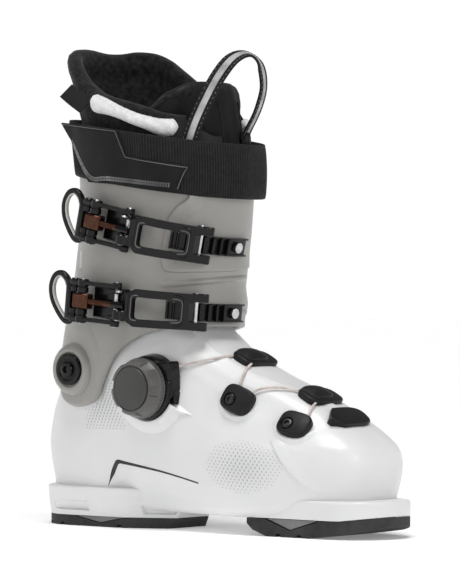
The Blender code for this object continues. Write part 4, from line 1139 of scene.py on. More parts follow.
def build_cuff_details(surface):
    """The lateral flap's edge, the ribs over the front, the pivot bosses and the strip down the back."""
    flap = [(146.0, -38.0, 262.0), (150.0, -37.0, 246.0), (149.8, -36.5, 229.2), (143.5, -42.0, 222.0),
            (139.5, -47.5, 213.0), (137.0, -49.5, 203.0), (135.3, -50.0, 192.0), (134.6, -50.0, 184.0),
            (136.0, -49.5, 178.6), (141.0, -44.0, 176.9), (152.0, -30.0, 177.0), (160.0, -8.0, 177.6),
            (159.5, 10.0, 178.6), (156.0, 26.0, 180.0), (142.0, 45.0, 182.0)]
    path = design_path(flap, 12)
    fade = lambda t: (1.0, ease((1.0 - t) / 0.1) * (1.0 - 0.3 * ease((t - 0.5) / 0.1)))
    step = [(-13.0, -0.3), (-8.0, 0.8), (-3.0, 2.0), (-1.1, 2.6), (-0.3, 2.3), (0.2, 1.4), (0.6, -0.4)]
    edge = drape("flap", surface, path, step, fade)
    piece("cuff_flap_edge", edge, GREY_PLASTIC, "cuff", "cuff_plastic")
    for number, points in enumerate((
            ((130.0, -51.0, 168.5), (139.5, -47.0, 168.6), (150.0, -34.0, 169.6), (160.0, -10.0, 171.4),
             (159.0, 10.0, 172.6), (150.0, 36.0, 174.0)),
            ((143.0, -42.0, 146.6), (153.0, -28.0, 146.4), (163.0, -6.0, 146.2), (162.0, 14.0, 147.0),
             (152.0, 36.0, 148.0)))):
        path = design_path(points, 12)
        soft = lambda t: (1.0, ease(t / 0.2) * ease((1.0 - t) / 0.2))
        hump = [(-2.6, -0.3), (-1.6, 0.7), (-0.5, 1.5), (0.6, 1.6), (1.8, 0.7), (2.8, -0.3)]
        rib = drape("rib", surface, path, hump, soft)
        piece(f"cuff_rib_{number}", rib, GREY_PLASTIC, "cuff", "cuff_plastic")
    crease = [(66.0, -53.0, 144.0), (71.0, -53.0, 134.0), (75.5, -53.0, 124.0), (77.5, -53.0, 112.0),
              (76.5, -53.0, 102.0)]
    path = design_path(crease, 10)
    soft = lambda t: (1.0, ease(t / 0.3) * ease((1.0 - t) / 0.3))
    fold = [(-6.0, -0.25), (-3.0, 0.35), (-0.8, 0.85), (0.0, 0.75), (0.8, -0.3)]
    line = drape("crease", surface, path, fold, soft)
    piece("cuff_crease", line, GREY_PLASTIC, "cuff", "cuff_plastic")
    for name, sign in (("lateral", -1.0), ("medial", 1.0)):
        place = Matrix.Translation(mm(PIVOT[0], 0.0, PIVOT[1]))
        place = place @ Matrix.Rotation(math.radians(90.0 * -sign), 4, "X")
        rows = ((19.0, 45.5), (17.6, 50.6), (16.2, 52.6), (14.6, 53.7), (13.0, 53.9), (12.2, 53.4),
                (11.6, 52.6), (5.0, 52.6))
        piece(f"cuff_boss_{name}", lathe("boss", rows, place, 72), GREY_PLASTIC, "cuff", "cuff_plastic")
        rows = ((11.2, 51.0), (11.2, 54.6), (10.6, 55.2), (8.4, 55.5), (7.4, 55.2), (7.0, 54.8), (5.4, 54.9))
        disc = lathe("disc", rows, place, 64)
        head = screw_head("hex", 5.6, 2.4, place @ Matrix.Translation((0.0, 0.0, 0.0546)))
        rivet = joined("rivet", [disc, head], 30.0)
        piece(f"cuff_rivet_{name}_look", rivet, BLACK_PLASTIC, "cuff", "black_plastic", f"cuff_rivet_{name}")
    refined("cuff_spine", MATTE_BLACK, "black_plastic", 2.2, 6)
    mark = [mm(55.0, -46.0, 181.0), mm(54.0, -46.0, 187.0), mm(53.0, -46.0, 193.0)]
    window = drape("mark", surface, mark, [(-2.4, 0.05), (-2.3, 0.15), (2.3, 0.15), (2.4, 0.05)], None, 0.3)
    piece("cuff_index_mark", window, PALE_MARK_AND_HIGHLIGHT_GREY, "cuff", "cuff_plastic")


# ---------------------------------------------------------------- strap
def set_weave(mesh, places):
    """Stores each point's place along and across the weave, in metres."""
    layer = mesh.attributes.new("weave", "FLOAT_VECTOR", "POINT")
    layer.data.foreach_set("vector", np.array(places, dtype=np.float32).ravel())


def strap_offset(angle):
    return CUFF_WALL + strap_rise(angle)


def build_strap():
    """The ribbed webbing round the top of the cuff."""
    columns = 1020
    ribs = 204
    half = STRAP_HEIGHT / 2.0
    perimeter = 345.0
    ends = []
    for k in range(columns):
        angle = 360.0 * k / columns
        low = meet_edge(angle, lambda x: strap_middle(x) - half)
        ends.append((k, angle, low, meet_edge(angle, lambda x: strap_middle(x) + half)))

    def pair(end, share):
        k, angle, low, high = end
        z = low + (high - low) * share
        rib = 0.24 * math.cos(2 * math.pi * ribs * k / columns)
        rib *= ease(share / 0.12) * ease((1 - share) / 0.12)
        swell = 0.5 * math.sin(math.pi * share)
        return (cuff_point(angle, z, strap_offset(angle) + 3.0 + rib + swell),
                cuff_point(angle, z, strap_offset(angle) + 1.1))

    outer, inner = two_grids([r / 11 for r in range(12)], ends, pair)
    mesh = shell_sheet("strap_look", outer, inner, True, 80.0)
    places = []
    for i, vertex in enumerate(mesh.vertices):
        x = vertex.co.x * 1000.0 + ORIGIN_X
        along = (i % columns) / columns * perimeter * 0.001
        places.append((along, vertex.co.z - strap_middle(x) * 0.001, 0.0))
    set_weave(mesh, places)
    piece("strap_look", mesh, STRAP_WEAVE, "cuff", "black_fabric", "power_strap")


def strap_place(x, z, off):
    """A point over the strap's lateral face for an x and a height."""
    angle = 90.0
    for _ in range(6):
        reach = CUFF_GAP + strap_offset(angle) + off
        back, toe = blend_table(SECTIONS, z)[:2]
        share = min(max((x - back + reach) / (toe - back + 2.0 * reach), 0.001), 0.999)
        angle = math.degrees(math.acos(2.0 * share - 1.0))
    lift = 5.0 * ease((52.0 - x) / 18.0)
    point = cuff_point(angle, z, strap_offset(angle) + off)
    return point + Vector((-0.35, -0.94, 0.0)) * lift * 0.001


TAB_TOP = ((38.0, 282.5), (100.0, 274.6), (108.8, 256.5), (152.0, 248.7))
TAB_BOTTOM = ((46.0, 272.0), (73.0, 240.5), (96.0, 238.6), (147.0, 233.0))


def between(a, b, t):
    """The (x, z) point at a share t of the way from a to b."""
    return a[0] + (b[0] - a[0]) * t, a[1] + (b[1] - a[1]) * t


def tab_grid(off):
    columns = []
    for a, b, c, d in zip(TAB_TOP, TAB_TOP[1:], TAB_BOTTOM, TAB_BOTTOM[1:]):
        columns.extend((between(a, b, k / 12), between(c, d, k / 12)) for k in range(12))
    columns.append((TAB_TOP[-1], TAB_BOTTOM[-1]))
    return [[strap_place(*between(low, high, r / 8), off) for high, low in columns] for r in range(9)]


def build_strap_tab():
    """The stitched end of the strap: a smooth patch with zigzag stitches and a grey piping line."""
    mesh = shell_sheet("strap_tab_look", tab_grid(5.0), tab_grid(3.7), False, 60.0)
    piece("strap_tab_look", mesh, BLACK_KNIT, "cuff", "black_fabric", "strap_end")
    inset = [(48.5, 270.4), (52.5, 265.6), (75.0, 243.6), (96.0, 241.6), (144.0, 236.0)]
    path = smooth_path([Vector((x, z, 0.0)) for x, z in inset], 60)
    threads = []
    walked = 0.0
    for a, b in zip(path, path[1:]):
        walked += (b - a).length
        if walked < 1.0:
            continue
        walked = 0.0
        along = (b - a).normalized()
        across = Vector((-along.y, along.x, 0.0))
        for low, high in ((-1.5, -0.2), (0.2, 1.5)):
            start = a + across * low - along * 0.3
            end = a + across * high + along * 0.3
            thread = [strap_place(p.x, p.y, 5.12) for p in (start, (start + end) / 2, end)]
            threads.append(tube("thread", thread, 0.2, 5))
    edge = [*TAB_TOP, TAB_BOTTOM[-1]]
    line = []
    for a, b in zip(edge, edge[1:]):
        for k in range(16):
            x, z = between(a, b, k / 16)
            line.append(strap_place(x, z - 0.5, 4.9))
    piece("strap_tab_stitches", joined("stitches", threads), PALE_THREAD, "cuff", "fleece")
    piece("strap_tab_piping", tube("piping", line, 0.34, 8), DARK_GREY, "cuff", "grey_plastic")


# ---------------------------------------------------------------- liner
RIM_START = 38.0
RIM_END = 322.0

# angle and height of the liner's upper edge
LINER_RIM = (
    (RIM_START, 279.0), (55.0, 281.0), (70.0, 286.5), (85.0, 291.5), (100.0, 295.5), (113.0, 300.0),
    (124.0, 306.0), (134.0, 314.0), (144.0, 322.5), (154.0, 328.5), (166.0, 331.5), (180.0, 331.5),
    (195.0, 329.0), (208.0, 329.5), (224.0, 332.0), (239.0, 330.0), (251.0, 324.0), (262.0, 315.5),
    (275.0, 305.0), (290.0, 296.5), (306.0, 290.0), (RIM_END, 285.0),
)


def ripple(angle, z, size):
    """A gentle unevenness of padded cloth."""
    return size * (math.sin(angle * 0.11 + z * 0.05) * math.sin(z * 0.13 + angle * 0.023)
                   + 0.5 * math.sin(angle * 0.27 - z * 0.09 + 1.0))


def liner_body():
    """Outer and inner grids of the leg part, low to high."""
    angles = [RIM_START + (RIM_END - RIM_START) * k / 190 for k in range(191)]
    tops = [blend_table(LINER_RIM, a)[0] for a in angles]
    lows = [meet_edge(a, lambda x: 143.0 + 11.0 * ease((x - 60.0) / 80.0)) for a in angles]

    def pair(column, share):
        angle, low, top = column
        z = low + (top - low) * share
        roll = ease((z - top + 15.0) / 10.0)
        above = ease((z - 272.0) / 14.0)
        rear = ease((angle - 110.0) / 30.0) * ease((250.0 - angle) / 30.0)
        uneven = ripple(angle, z, 0.5) * above + 2.2 * ease((z - 296.0) / 30.0) * rear
        inside_wave = 1.3 * above * math.sin(angle * 0.09)
        return (cuff_point(angle, z, -1.8 + 1.6 * roll + uneven),
                cuff_point(angle, z, -9.6 - 2.2 * roll + uneven + inside_wave))

    return two_grids([(r / 45) ** 0.8 for r in range(46)], list(zip(angles, lows, tops)), pair)


def build_liner():
    """One soft liner: a foot part in the lower shell and a leg part in the cuff, with a thick rolled rim."""
    outer, inner = liner_body()
    leg = shell_sheet("leg", outer, inner, False, 70.0)
    angles = [360.0 * k / 96 for k in range(96)]
    rings = []
    for z in (24.5, 27.0, 34.0, 42.0, 50.0, 56.0, 62.0, 67.0, 72.0, 78.0, 84.0, 91.0, 98.0, 104.0,
              110.0, 118.0):
        lift = 5.0 * ease((z - 46.0) / 16.0) * ease((118.0 - z) / 12.0)
        rings.append([mm(*outline(a, z + lift, -SHELL_WALL - (2.6 if z < 26 else 1.3)), z) for a in angles])
    for z in (118.0, 110.0, 104.0, 98.0, 91.0, 84.0, 77.0, 70.0, 64.0, 58.0, 52.0, 46.0, 38.0, 31.0):
        lift = 13.0 * ease((z - 30.0) / 20.0) * ease((122.0 - z) / 20.0)
        rings.append([mm(*outline(a, z + lift, -SHELL_WALL - 6.5), z) for a in angles])
    foot = loft("foot", rings, True, 70.0)
    heights = (116.0, 124.0, 132.0, 140.0, 149.0, 158.0)
    neck_rings = [[mm(*outline(a, z, -7.5), z) for a in angles] for z in heights]
    neck_rings += [[mm(*outline(a, z, -9.0), z) for a in angles] for z in reversed(heights)]
    bm = bmesh.new()
    loops = add_rings(bm, neck_rings, caps=False)
    for i in range(96):
        j = (i + 1) % 96
        bm.faces.new((loops[-1][i], loops[-1][j], loops[0][j], loops[0][i]))
    neck = finish_mesh("neck", bm, 70.0)
    item = piece("liner_look", joined("liner_look", [leg, foot, neck], 70.0), BLACK_FLEECE, None,
                 "black_fabric", "liner_cuff", "liner_foot")
    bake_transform(item)


def tongue_side(angle):
    """How far inside the cuff the tongue's outer surface lies: its wings tuck inside the liner."""
    return -3.4 - 9.2 * ease((abs(angle - 2.0) - 27.0) / 12.0)


def tongue_top(angle):
    return 302.5 - 8.0 * ease((abs(angle - 4.0) - 20.0) / 40.0) - 9.0 * ease((angle - 52.0) / 22.0)


def build_tongue():
    """The tongue with its rolled top edge, its front panel and its two seams."""
    def body_pair(angle, share):
        top = tongue_top(angle)
        z = 157.0 + (top - 157.0) * share
        roll = ease((z - top + 15.0) / 9.0)
        bulge = 1.6 * ease((z - 268.0) / 12.0) * math.cos(math.radians(angle)) ** 2
        uneven = ripple(angle * 2.0, z, 0.35)
        return (cuff_point(angle, z, tongue_side(angle) + 1.5 * roll + uneven + bulge),
                cuff_point(angle, z, tongue_side(angle) - 8.0 - 1.6 * roll + uneven))

    def panel_pair(k, share):
        angle = 52.0 - 40.0 * k / 24
        top = 285.0 - 15.0 * ease(k / 24 / 0.9)
        z = 255.0 + (top - 255.0) * share
        return cuff_point(angle, z, 1.6), cuff_point(angle, z, 0.1)

    angles = [-54.0 + 128.0 * k / 110 for k in range(111)]
    outer, inner = two_grids([(r / 39) ** 0.8 for r in range(40)], angles, body_pair)
    mesh = shell_sheet("tongue_look", outer, inner, False, 70.0)
    item = piece("tongue_look", mesh, BLACK_KNIT, "cuff", "black_fabric", "liner_tongue")
    roll_path = []
    for k in range(65):
        angle = -52.0 + 125.0 * k / 64
        top = tongue_top(angle)
        roll_path.append(cuff_point(angle, top - 0.5, tongue_side(angle) - 2.6))
    plump = lambda t: 0.72 + 0.28 * ease(t / 0.08) * ease((1.0 - t) / 0.08)
    mesh = sweep("roll", roll_path, circle(5.0, 20, 0.9), Vector((0.0, 0.0, 1.0)), plump)
    roll = piece("tongue_roll", mesh, BLACK_FLEECE, "cuff", "black_fabric")
    outer, inner = two_grids([r / 9 for r in range(10)], range(25), panel_pair)
    mesh = shell_sheet("panel", outer, inner, False)
    piece("tongue_panel", mesh, MATTE_BLACK, "cuff", "black_plastic")
    for number, angle in enumerate((8.0, -14.0)):
        path = [cuff_point(angle + 1.5 * math.sin(z * 0.05), z, tongue_side(angle) + 3.2)
                for z in range(262, 298, 3)]
        piece(f"tongue_seam_{number}", tube("seam", path, 0.45, 6), MATTE_BLACK, "cuff", "black_fabric")


def trim_mesh(name, start, end, lifts, tall, thick):
    """A plush roll along the liner's rim between two angles."""
    steps = 130
    phase = 1.7
    rings = []
    for k in range(steps + 1):
        t = k / steps
        angle = start + (end - start) * t
        dip = 3.6 * ease((t - 0.15) / 0.4) * (1.0 - 0.7 * ease((t - 0.72) / 0.28))
        z = blend_table(LINER_RIM, angle)[0] + lifts - dip
        centre = cuff_point(angle, z, 0.4)
        out = (cuff_point(angle, z, 2.0) - cuff_point(angle, z, 0.0)).normalized()
        size = math.sin(math.pi * min(max(t * 6.0, 0.0), 0.5)) * math.sin(math.pi * min((1.0 - t) * 6.0, 0.5))
        size = max(size, 0.12) * (1.12 - 0.34 * ease(t / 0.4) + 0.24 * ease((t - 0.55) / 0.3))
        ring = []
        for i in range(32):
            turn = 2 * math.pi * i / 32
            fuzz = 1.0 + 0.025 * math.sin(5 * turn + phase + k * 0.5) * math.sin(k * 0.31 + 2 * turn)
            reach = out * math.cos(turn) * thick + Vector((0, 0, 1)) * math.sin(turn) * tall
            ring.append(centre + reach * size * fuzz * 0.001)
        rings.append(ring)
    return loft(name, rings, True, 80.0)


def build_trims():
    for side, start, end, lifts, tall, thick in (("lateral", 109.0, 45.0, -2.2, 5.9, 5.2),
                                                 ("medial", 262.0, 326.0, -4.5, 5.6, 4.6)):
        mesh = trim_mesh(f"liner_trim_{side}_look", start, end, lifts, tall, thick)
        item = piece(f"liner_trim_{side}_look", mesh, WHITE_FLEECE, "cuff", "fleece", f"liner_trim_{side}")


def build_tag():
    """A blank woven tag on the liner's rear lateral edge."""
    def pair(t, share):
        base = cuff_point(124.0 - 16.0 * t, 307.0 - 10.0 * t, 1.6)
        down = Vector((-5.5, -6.0, -8.5)) * 0.001 * share
        spot = base + down + Vector((-0.003, -0.002, 0.002)) * (1.0 - t)
        return spot + Vector((-0.3, -0.8, 0.3)) * 0.0007, spot

    outer, inner = two_grids((0.0, 0.25, 0.5, 0.75, 1.0), [k / 8 for k in range(9)], pair)
    piece("liner_tag", shell_sheet("tag", outer, inner, False), BLACK_KNIT, "cuff", "black_fabric")


def build_pull_loop():
    """The webbing loop on the tongue, with its pale stripe and its knotted end."""
    points = ((145.0, -33.0, 262.0), (150.0, -31.5, 277.0), (156.0, -27.0, 294.0), (161.0, -19.0, 311.0),
              (164.5, -8.0, 323.5), (168.0, 4.0, 327.5), (170.5, 14.0, 321.0), (169.5, 19.5, 306.0),
              (164.0, 20.0, 290.0), (156.0, 19.0, 276.0), (153.0, 18.0, 270.0))
    path = design_path(points, 10)
    count = len(path)
    ups = []
    for k in range(count):
        t = k / (count - 1)
        first = Vector((0.50, -0.78, 0.36)).lerp(Vector((0.28, -0.30, 0.92)), ease((t - 0.30) / 0.22))
        ups.append(first.lerp(Vector((0.86, 0.22, 0.12)), ease((t - 0.52) / 0.2)).normalized())
    band_profile = rounded_box(5.6, 0.85, 0.8, 3)
    band = sweep("band", path, band_profile, ups)
    places = []
    length = 0.0
    lengths = []
    for k in range(count):
        length += (path[k] - path[k - 1]).length if k else 0.0
        lengths.append(length)
    for k in range(count):
        places.extend((lengths[k], a * 0.001, b * 0.001) for a, b in band_profile)
    set_weave(band, places)
    piece("pull_loop_look", band, STRAP_WEAVE, "cuff", "black_fabric", "pull_loop")
    stripe = sweep("stripe", path[3:-2], rounded_box(2.3, 1.05, 0.5, 2), ups[3:-2])
    piece("pull_loop_stripe", stripe, PALE_THREAD, "cuff", "fleece")
    knot_rows = ((0.6, -7.5), (3.4, -6.0), (4.4, -2.0), (4.6, 2.0), (3.8, 5.5), (2.0, 7.6), (0.5, 8.0))
    place = Matrix.Translation(mm(153.5, 18.0, 267.5)) @ Matrix.Rotation(math.radians(8.0), 4, "Y")
    piece("pull_loop_knot", lathe("knot", knot_rows, place, 28), MATTE_BLACK, "cuff", "black_plastic")
    stitches = []
    for side in (-1.0, 1.0):
        for k in range(4, count - 6, 2):
            ahead, across, up = frames_along(path, ups)[k]
            start = path[k] + across * 4.3 * side * 0.001 + up * 0.00088
            stitches.append(tube("s", [start - ahead * 0.0006, start, start + ahead * 0.0006], 0.2, 5))
    piece("pull_loop_stitches", joined("sewn", stitches), MID_GREY, "cuff", "grey_plastic")


# ---------------------------------------------------------------- buckles
def buckle_place(spec):
    """Placement of a buckle's hinge: local X forward, local -Y outwards and local Z up the hinge."""
    return Matrix.Translation(mm(*spec["place"])) @ Matrix.Rotation(math.radians(spec["tilt"]), 4, "Y")


def ladder_point(spec, offset, angle):
    """A point of the ladder's path in the buckle's local plane."""
    x, y, z = spec["place"]
    lean = math.tan(math.radians(spec["tilt"]))
    ahead = outline(angle, z, CUFF_GAP + CUFF_WALL + offset)[0] - x
    height = z - lean * ahead
    front = FRONT_GAP * ease((170.0 - height) / 20.0)
    place = outline(angle, height, CUFF_GAP + CUFF_WALL + offset, front)
    return ((place[0] - x) / math.cos(math.radians(spec["tilt"])), place[1] - y)


def side_plate(name, plan, low, high, place, edge=0.7):
    """A plate lying across the hinge, from an (x, y) plan between two heights, with rounded edges."""
    rings = []
    centre = Vector((sum(p[0] for p in plan), sum(p[1] for p in plan))) / len(plan)
    for inset, height in ((edge, low), (edge * 0.3, low + edge * 0.3), (0.0, low + edge), (0.0, high - edge),
                          (edge * 0.3, high - edge * 0.3), (edge, high)):
        ring = []
        for a, b in plan:
            away = Vector((a, b)) - centre
            spot = Vector((a, b)) - away.normalized() * min(inset, away.length)
            ring.append(at(place, spot.x, spot.y, height))
        rings.append(ring)
    return loft(name, rings)


def round_plan(points, steps=6):
    """A closed smooth outline through the points."""
    count = len(points)
    ring = []
    for k in range(count):
        a, b, c, d = (Vector(points[(k + j) % count]) for j in (-1, 0, 1, 2))
        for i in range(steps):
            p = catmull(a, b, c, d, i / steps)
            ring.append((p.x, p.y))
    return ring


# (x, y) outline of a lever's arm, and the (x, z) middle line of its pull ring
ARM_PLAN = ((-41.5, -4.6), (-38.0, -7.2), (-30.0, -8.2), (-22.0, -7.6), (-10.0, -4.4), (0.0, -3.9),
            (3.6, -2.4), (3.8, 0.6), (1.0, 1.6), (-8.0, 0.4), (-20.0, -0.8), (-32.0, -0.6), (-40.0, -0.6))
PULL_PATH = ((-41.0, 9.5), (-44.0, 14.2), (-49.5, 17.2), (-55.0, 14.6), (-57.6, 7.5), (-55.8, -1.0),
             (-50.5, -8.6), (-44.0, -14.6), (-39.6, -15.6), (-38.6, -12.0), (-39.2, -3.0), (-40.0, 4.0))


def build_lever(name, place, body):
    """The lever's two arms with their barrels, the bridge and the pull ring with a pale strip along its inner
    edge, a painted highlight.
    """
    arms = []
    for sign in (-1.0, 1.0):
        low, high = sorted((sign * 11.2, sign * 13.9))
        arms.append(side_plate("arm", round_plan(ARM_PLAN, 4), low, high, place, 0.6))
        for x, y, radius, start in ((0.0, 0.0, 3.3, 10.9), (-27.0, -5.0, 4.0, 5.6), (-34.5, -4.6, 3.1, 5.6)):
            rows = [(radius - 0.5, start), (radius, start + 0.4)]
            if start < 10.0:
                rows += [(radius, 9.2), (radius - 0.7, 9.5), (radius - 0.7, 10.0), (radius, 10.3)]
            rows += [(radius, 14.6), (radius - 0.6, 15.2), (1.0, 15.2)]
            arms.append(lathe("barrel", rows, flipped(moved(place, x, y, 0.0), sign), 28))
    bridge = [(-41.8, -6.0), (-39.0, -7.2), (-36.8, -6.4), (-36.6, -1.0), (-38.5, 0.2), (-41.6, -0.6)]
    arms.append(side_plate("bridge", round_plan(bridge, 3), -13.4, 13.4, place, 0.5))
    points = [Vector((x, -3.4, z)) for x, z in PULL_PATH]
    closed = smooth_path([*points, points[0]], 9)[:-1]
    path = [place @ (p * 0.001) for p in closed]
    outward = (place.to_3x3() @ Vector((0.0, -1.0, 0.0))).normalized()
    arms.append(sweep("pull", path, rounded_box(1.9, 1.9, 0.9, 3), outward, cyclic=True))
    piece(name + "_lever_look", joined(name + "_lever_look", arms), BLACK_PLASTIC, body, "black_plastic",
          name + "_lever")
    centre = sum(path, Vector()) / len(path)
    # A pale grey strip along the pull ring's inner edge: a painted highlight on the black ring.
    inner = []
    for k, point in enumerate(path):
        ahead = (path[(k + 1) % len(path)] - path[k - 1]).normalized()
        side = ahead.cross(outward).normalized()
        if side.dot(centre - point) < 0.0:
            side = -side
        inner.append(point + side * 0.0020)
    highlight_strip = sweep("highlight_strip", inner, rounded_box(0.55, 1.5, 0.35, 2), outward, cyclic=True)
    piece(name + "_pull_highlight_strip", highlight_strip, PALE_MARK_AND_HIGHLIGHT_GREY, body, "steel")
    caps = []
    for sign in (-1.0, 1.0):
        for x, y in ((0.0, 0.0), (-27.0, -5.0)):
            rows = ((2.1, -0.6), (2.1, 0.3), (1.7, 0.7), (0.9, 0.9), (0.1, 0.95))
            caps.append(lathe("cap", rows, flipped(moved(place, x, y, sign * 15.1), sign), 24))
    piece(name + "_pin_caps", joined(name + "_pin_caps", caps), STEEL, body, "steel")


def build_rod(name, spec, place, body):
    """The threaded rod with its thicker sleeve."""
    end = spec["collar_end"] - 2.5
    along = moved(place, 0.0, -5.0, 0.0) @ Matrix.Rotation(math.radians(90.0), 4, "Y")
    rows = [(1.4, -34.6)]
    for k in range(104):
        rows.append((2.12 if k % 2 else 1.78, -34.2 + 0.26 * k))
    rows += [(2.1, -7.1), (2.1, end - 0.3), (1.8, end)]
    mesh = lathe(name + "_rod_look", rows, along, 26)
    piece(name + "_rod_look", mesh, COPPER, body, "copper", name + "_rod")


def plan_block(name, plan, place):
    """A straight cutter across local Y from an (x, z) outline."""
    return loft(name, [[at(place, x, y, z) for x, z in plan] for y in (-30.0, 60.0)])


def bend(a, b, c, t):
    """The point at a share t of a curve from a to c that bends towards b."""
    return a * (1 - t) ** 2 + b * 2 * t * (1 - t) + c * t * t


def chamfered(points, radius, steps=4):
    """An outline whose corners are rounded with short arcs."""
    ring = []
    count = len(points)
    for k in range(count):
        before, corner, after = (Vector(points[(k + j) % count]) for j in (-1, 0, 1))
        start = corner + (before - corner).normalized() * min(radius, (before - corner).length * 0.45)
        finish = corner + (after - corner).normalized() * min(radius, (after - corner).length * 0.45)
        for i in range(steps + 1):
            p = bend(start, corner, finish, i / steps)
            ring.append((p.x, p.y))
    return ring


def build_bail(name, spec, place, body):
    """The curved frame with its window, hinge collar and the cheeks that hold the catch bar."""
    bar = ladder_point(spec, 5.1, 31.0)
    collar_end = spec["collar_end"]
    ends = Vector((collar_end - 0.5, -5.0)), Vector((30.0, -4.6)), Vector(ladder_point(spec, 8.6, 25.0))
    path = [bend(*ends, k / 48) for k in range(49)]
    outer = []
    inner = []
    for k, point in enumerate(path):
        ahead = path[min(k + 1, 48)] - path[max(k - 1, 0)]
        normal = Vector((-ahead.y, ahead.x)).normalized()
        outer.append(point - normal * 1.7)
        inner.append(point + normal * 1.4)
    ring = outer + inner[::-1]
    plate = loft("plate", [[at(place, p.x, p.y, z) for p in ring] for z in (-13.6, 13.6)])
    item = piece(name + "_bail_look", plate, BLACK_PLASTIC, body, "black_plastic", name + "_bail")
    low = path[0].x
    high = path[-1].x
    waist = path[40].x
    half = [(low - 2.0, -9.4), (low + 2.4, -9.4), (low + 6.5, -13.0), (waist, -12.4), (high + 3.0, -12.2),
            (high + 3.0, -7.2), (path[42].x, -7.0)]
    frame_plan = chamfered([*half, *((x, -z) for x, z in reversed(half))], 1.6)
    window = chamfered([(path[8].x, -7.6), (path[38].x, -7.0), (path[38].x, 7.0), (path[8].x, 7.6)], 2.8)
    boolean(item, [plan_block("plan", frame_plan, place)], "INTERSECT")
    boolean(item, [plan_block("window", window, place)], "DIFFERENCE")
    smooth_again(item, BLACK_PLASTIC, 28.0)
    add_bevel(item, 0.55, 28.0)
    # The dark grey lip round the window is a painted highlight along the black frame's bevel; the second lip
    # is black.
    for number, (grow, material, radius) in enumerate(((1.0, DARK_GREY, 0.42), (3.4, BLACK_PLASTIC, 0.5))):
        near = path[8].x - grow
        far = path[38].x + min(grow, 1.6)
        lip = []
        for x, z in chamfered([(near, -7.6 - grow), (far, -7.0 - grow), (far, 7.0 + grow),
                               (near, 7.6 + grow)], 3.2, 8):
            k = min(range(49), key=lambda i: abs(path[i].x - x))
            k = min(max(k, 1), 47)
            before, after = outer[k - 1], outer[k + 1]
            t = (x - before.x) / (after.x - before.x)
            lip.append(at(place, x, before.y + (after.y - before.y) * t, z))
        mesh = tube("lip", lip, radius, 8, cyclic=True)
        piece(f"{name}_bail_lip_{number}", mesh, material, body, "black_plastic")
    parts = []
    a = collar_end - 11.5
    plan = round_plan([(a, -7.6), (a + 3.5, -9.3), (a + 8.5, -9.0), (a + 11.3, -6.6), (a + 11.3, -3.4),
                       (a + 8.5, -2.1), (a + 3.0, -2.1), (a + 0.2, -3.6)], 4)
    parts.append(side_plate("collar", plan, -5.0, 5.0, place, 0.8))
    for sign in (-1.0, 1.0):
        for x, first, last, radius in ((a + 3.6, 3.0, 9.8, 3.5), (a + 8.4, 3.0, 9.2, 3.1)):
            low, high = sorted((sign * first, sign * last))
            rows = ((radius - 0.5, low), (radius, low + 0.5), (radius, high - 0.5),
                    (radius - 0.5, high), (0.5, high))
            parts.append(lathe("knuckle", rows, moved(place, x, -5.4, 0.0), 28))
        low, high = sorted((sign * 7.0, sign * 12.8))
        for x, y, radius in ((bar[0], bar[1], 3.7), (bar[0] + 4.2, bar[1] + 3.6, 2.9)):
            rows = ((radius - 0.5, low), (radius, low + 0.5), (radius, high - 0.6),
                    (radius - 0.6, high), (0.5, high))
            parts.append(lathe("cheek", rows, moved(place, x, y, 0.0), 28))
    collar = piece(name + "_bail_joints", joined("joints", parts), BLACK_PLASTIC, body, "black_plastic")
    bore = [at(place, a - 2.0, -5.0, 0.0), at(place, collar_end - 1.9, -5.0, 0.0)]
    boolean(collar, [tube("bore", bore, 2.5, 24)], "DIFFERENCE")
    smooth_again(collar, BLACK_PLASTIC)
    caps = []
    for sign in (-1.0, 1.0):
        for x, y, z, radius in ((*bar, 12.7, 2.0), (a + 3.6, -5.4, 9.7, 2.2)):
            rows = ((radius, -0.6), (radius, 0.3), (radius - 0.4, 0.7), (0.8, 0.9), (0.1, 0.95))
            caps.append(lathe("cap", rows, flipped(moved(place, x, y, sign * z), sign), 24))
    piece(name + "_bail_caps", joined(name + "_bail_caps", caps), STEEL, body, "steel")


def build_ladder(name, spec, place):
    """The toothed strip on the medial flap, with rails along its edges."""
    steps = [51.0 - 59.0 * k / 118 for k in range(119)]
    inner = [ladder_point(spec, 0.9, a) for a in steps]
    strip = []
    for height, low, high in ((2.6, -6.2, 6.2), (4.4, -6.2, -5.1), (4.4, 5.1, 6.2)):
        ring = inner + [ladder_point(spec, height, a) for a in reversed(steps)]
        strip.append(loft("strip", [[at(place, x, y, z) for x, y in ring] for z in (low, high)]))
    sides = ((1.2, 1.0), (5.6, 0.75), (6.3, 0.35), (6.3, -0.35), (5.6, -0.75), (1.2, -1.0))
    for angle in (50.0, *(46.0 - 6.0 * k for k in range(7))):
        tooth = [ladder_point(spec, height, angle + turn) for height, turn in sides]
        centre = Vector((sum(p[0] for p in tooth), sum(p[1] for p in tooth))) / 6.0
        rings = []
        for z, grow in ((-6.0, 0.75), (-5.4, 1.0), (5.4, 1.0), (6.0, 0.75)):
            spots = [centre + (Vector(p) - centre) * grow for p in tooth]
            rings.append([at(place, spot.x, spot.y, z) for spot in spots])
        strip.append(loft("tooth", rings))
    piece(name + "_ladder_look", joined(name + "_ladder_look", strip, 30.0), BLACK_PLASTIC, "cuff",
          "black_plastic", name + "_ladder")


def build_buckle(name, spec):
    place = buckle_place(spec)
    body = {part: NODES[f"{name}_{part}"]["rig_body"] for part in ("lever", "bail", "rod")}
    build_lever(name, place, body["lever"])
    build_rod(name, spec, place, body["rod"])
    build_bail(name, spec, place, body["bail"])
    refined(name + "_base", BLACK_PLASTIC, "black_plastic", 0.8)
    refined(name + "_pin", STEEL, "steel", 0.3)
    refined(name + "_trunnion", COPPER, "copper", 0.7)
    build_ladder(name, spec, place)
    refined(name + "_ladder_screw", STEEL, "steel", 0.9)
    refined(name + "_catch_bar", STEEL, "steel", 0.3)


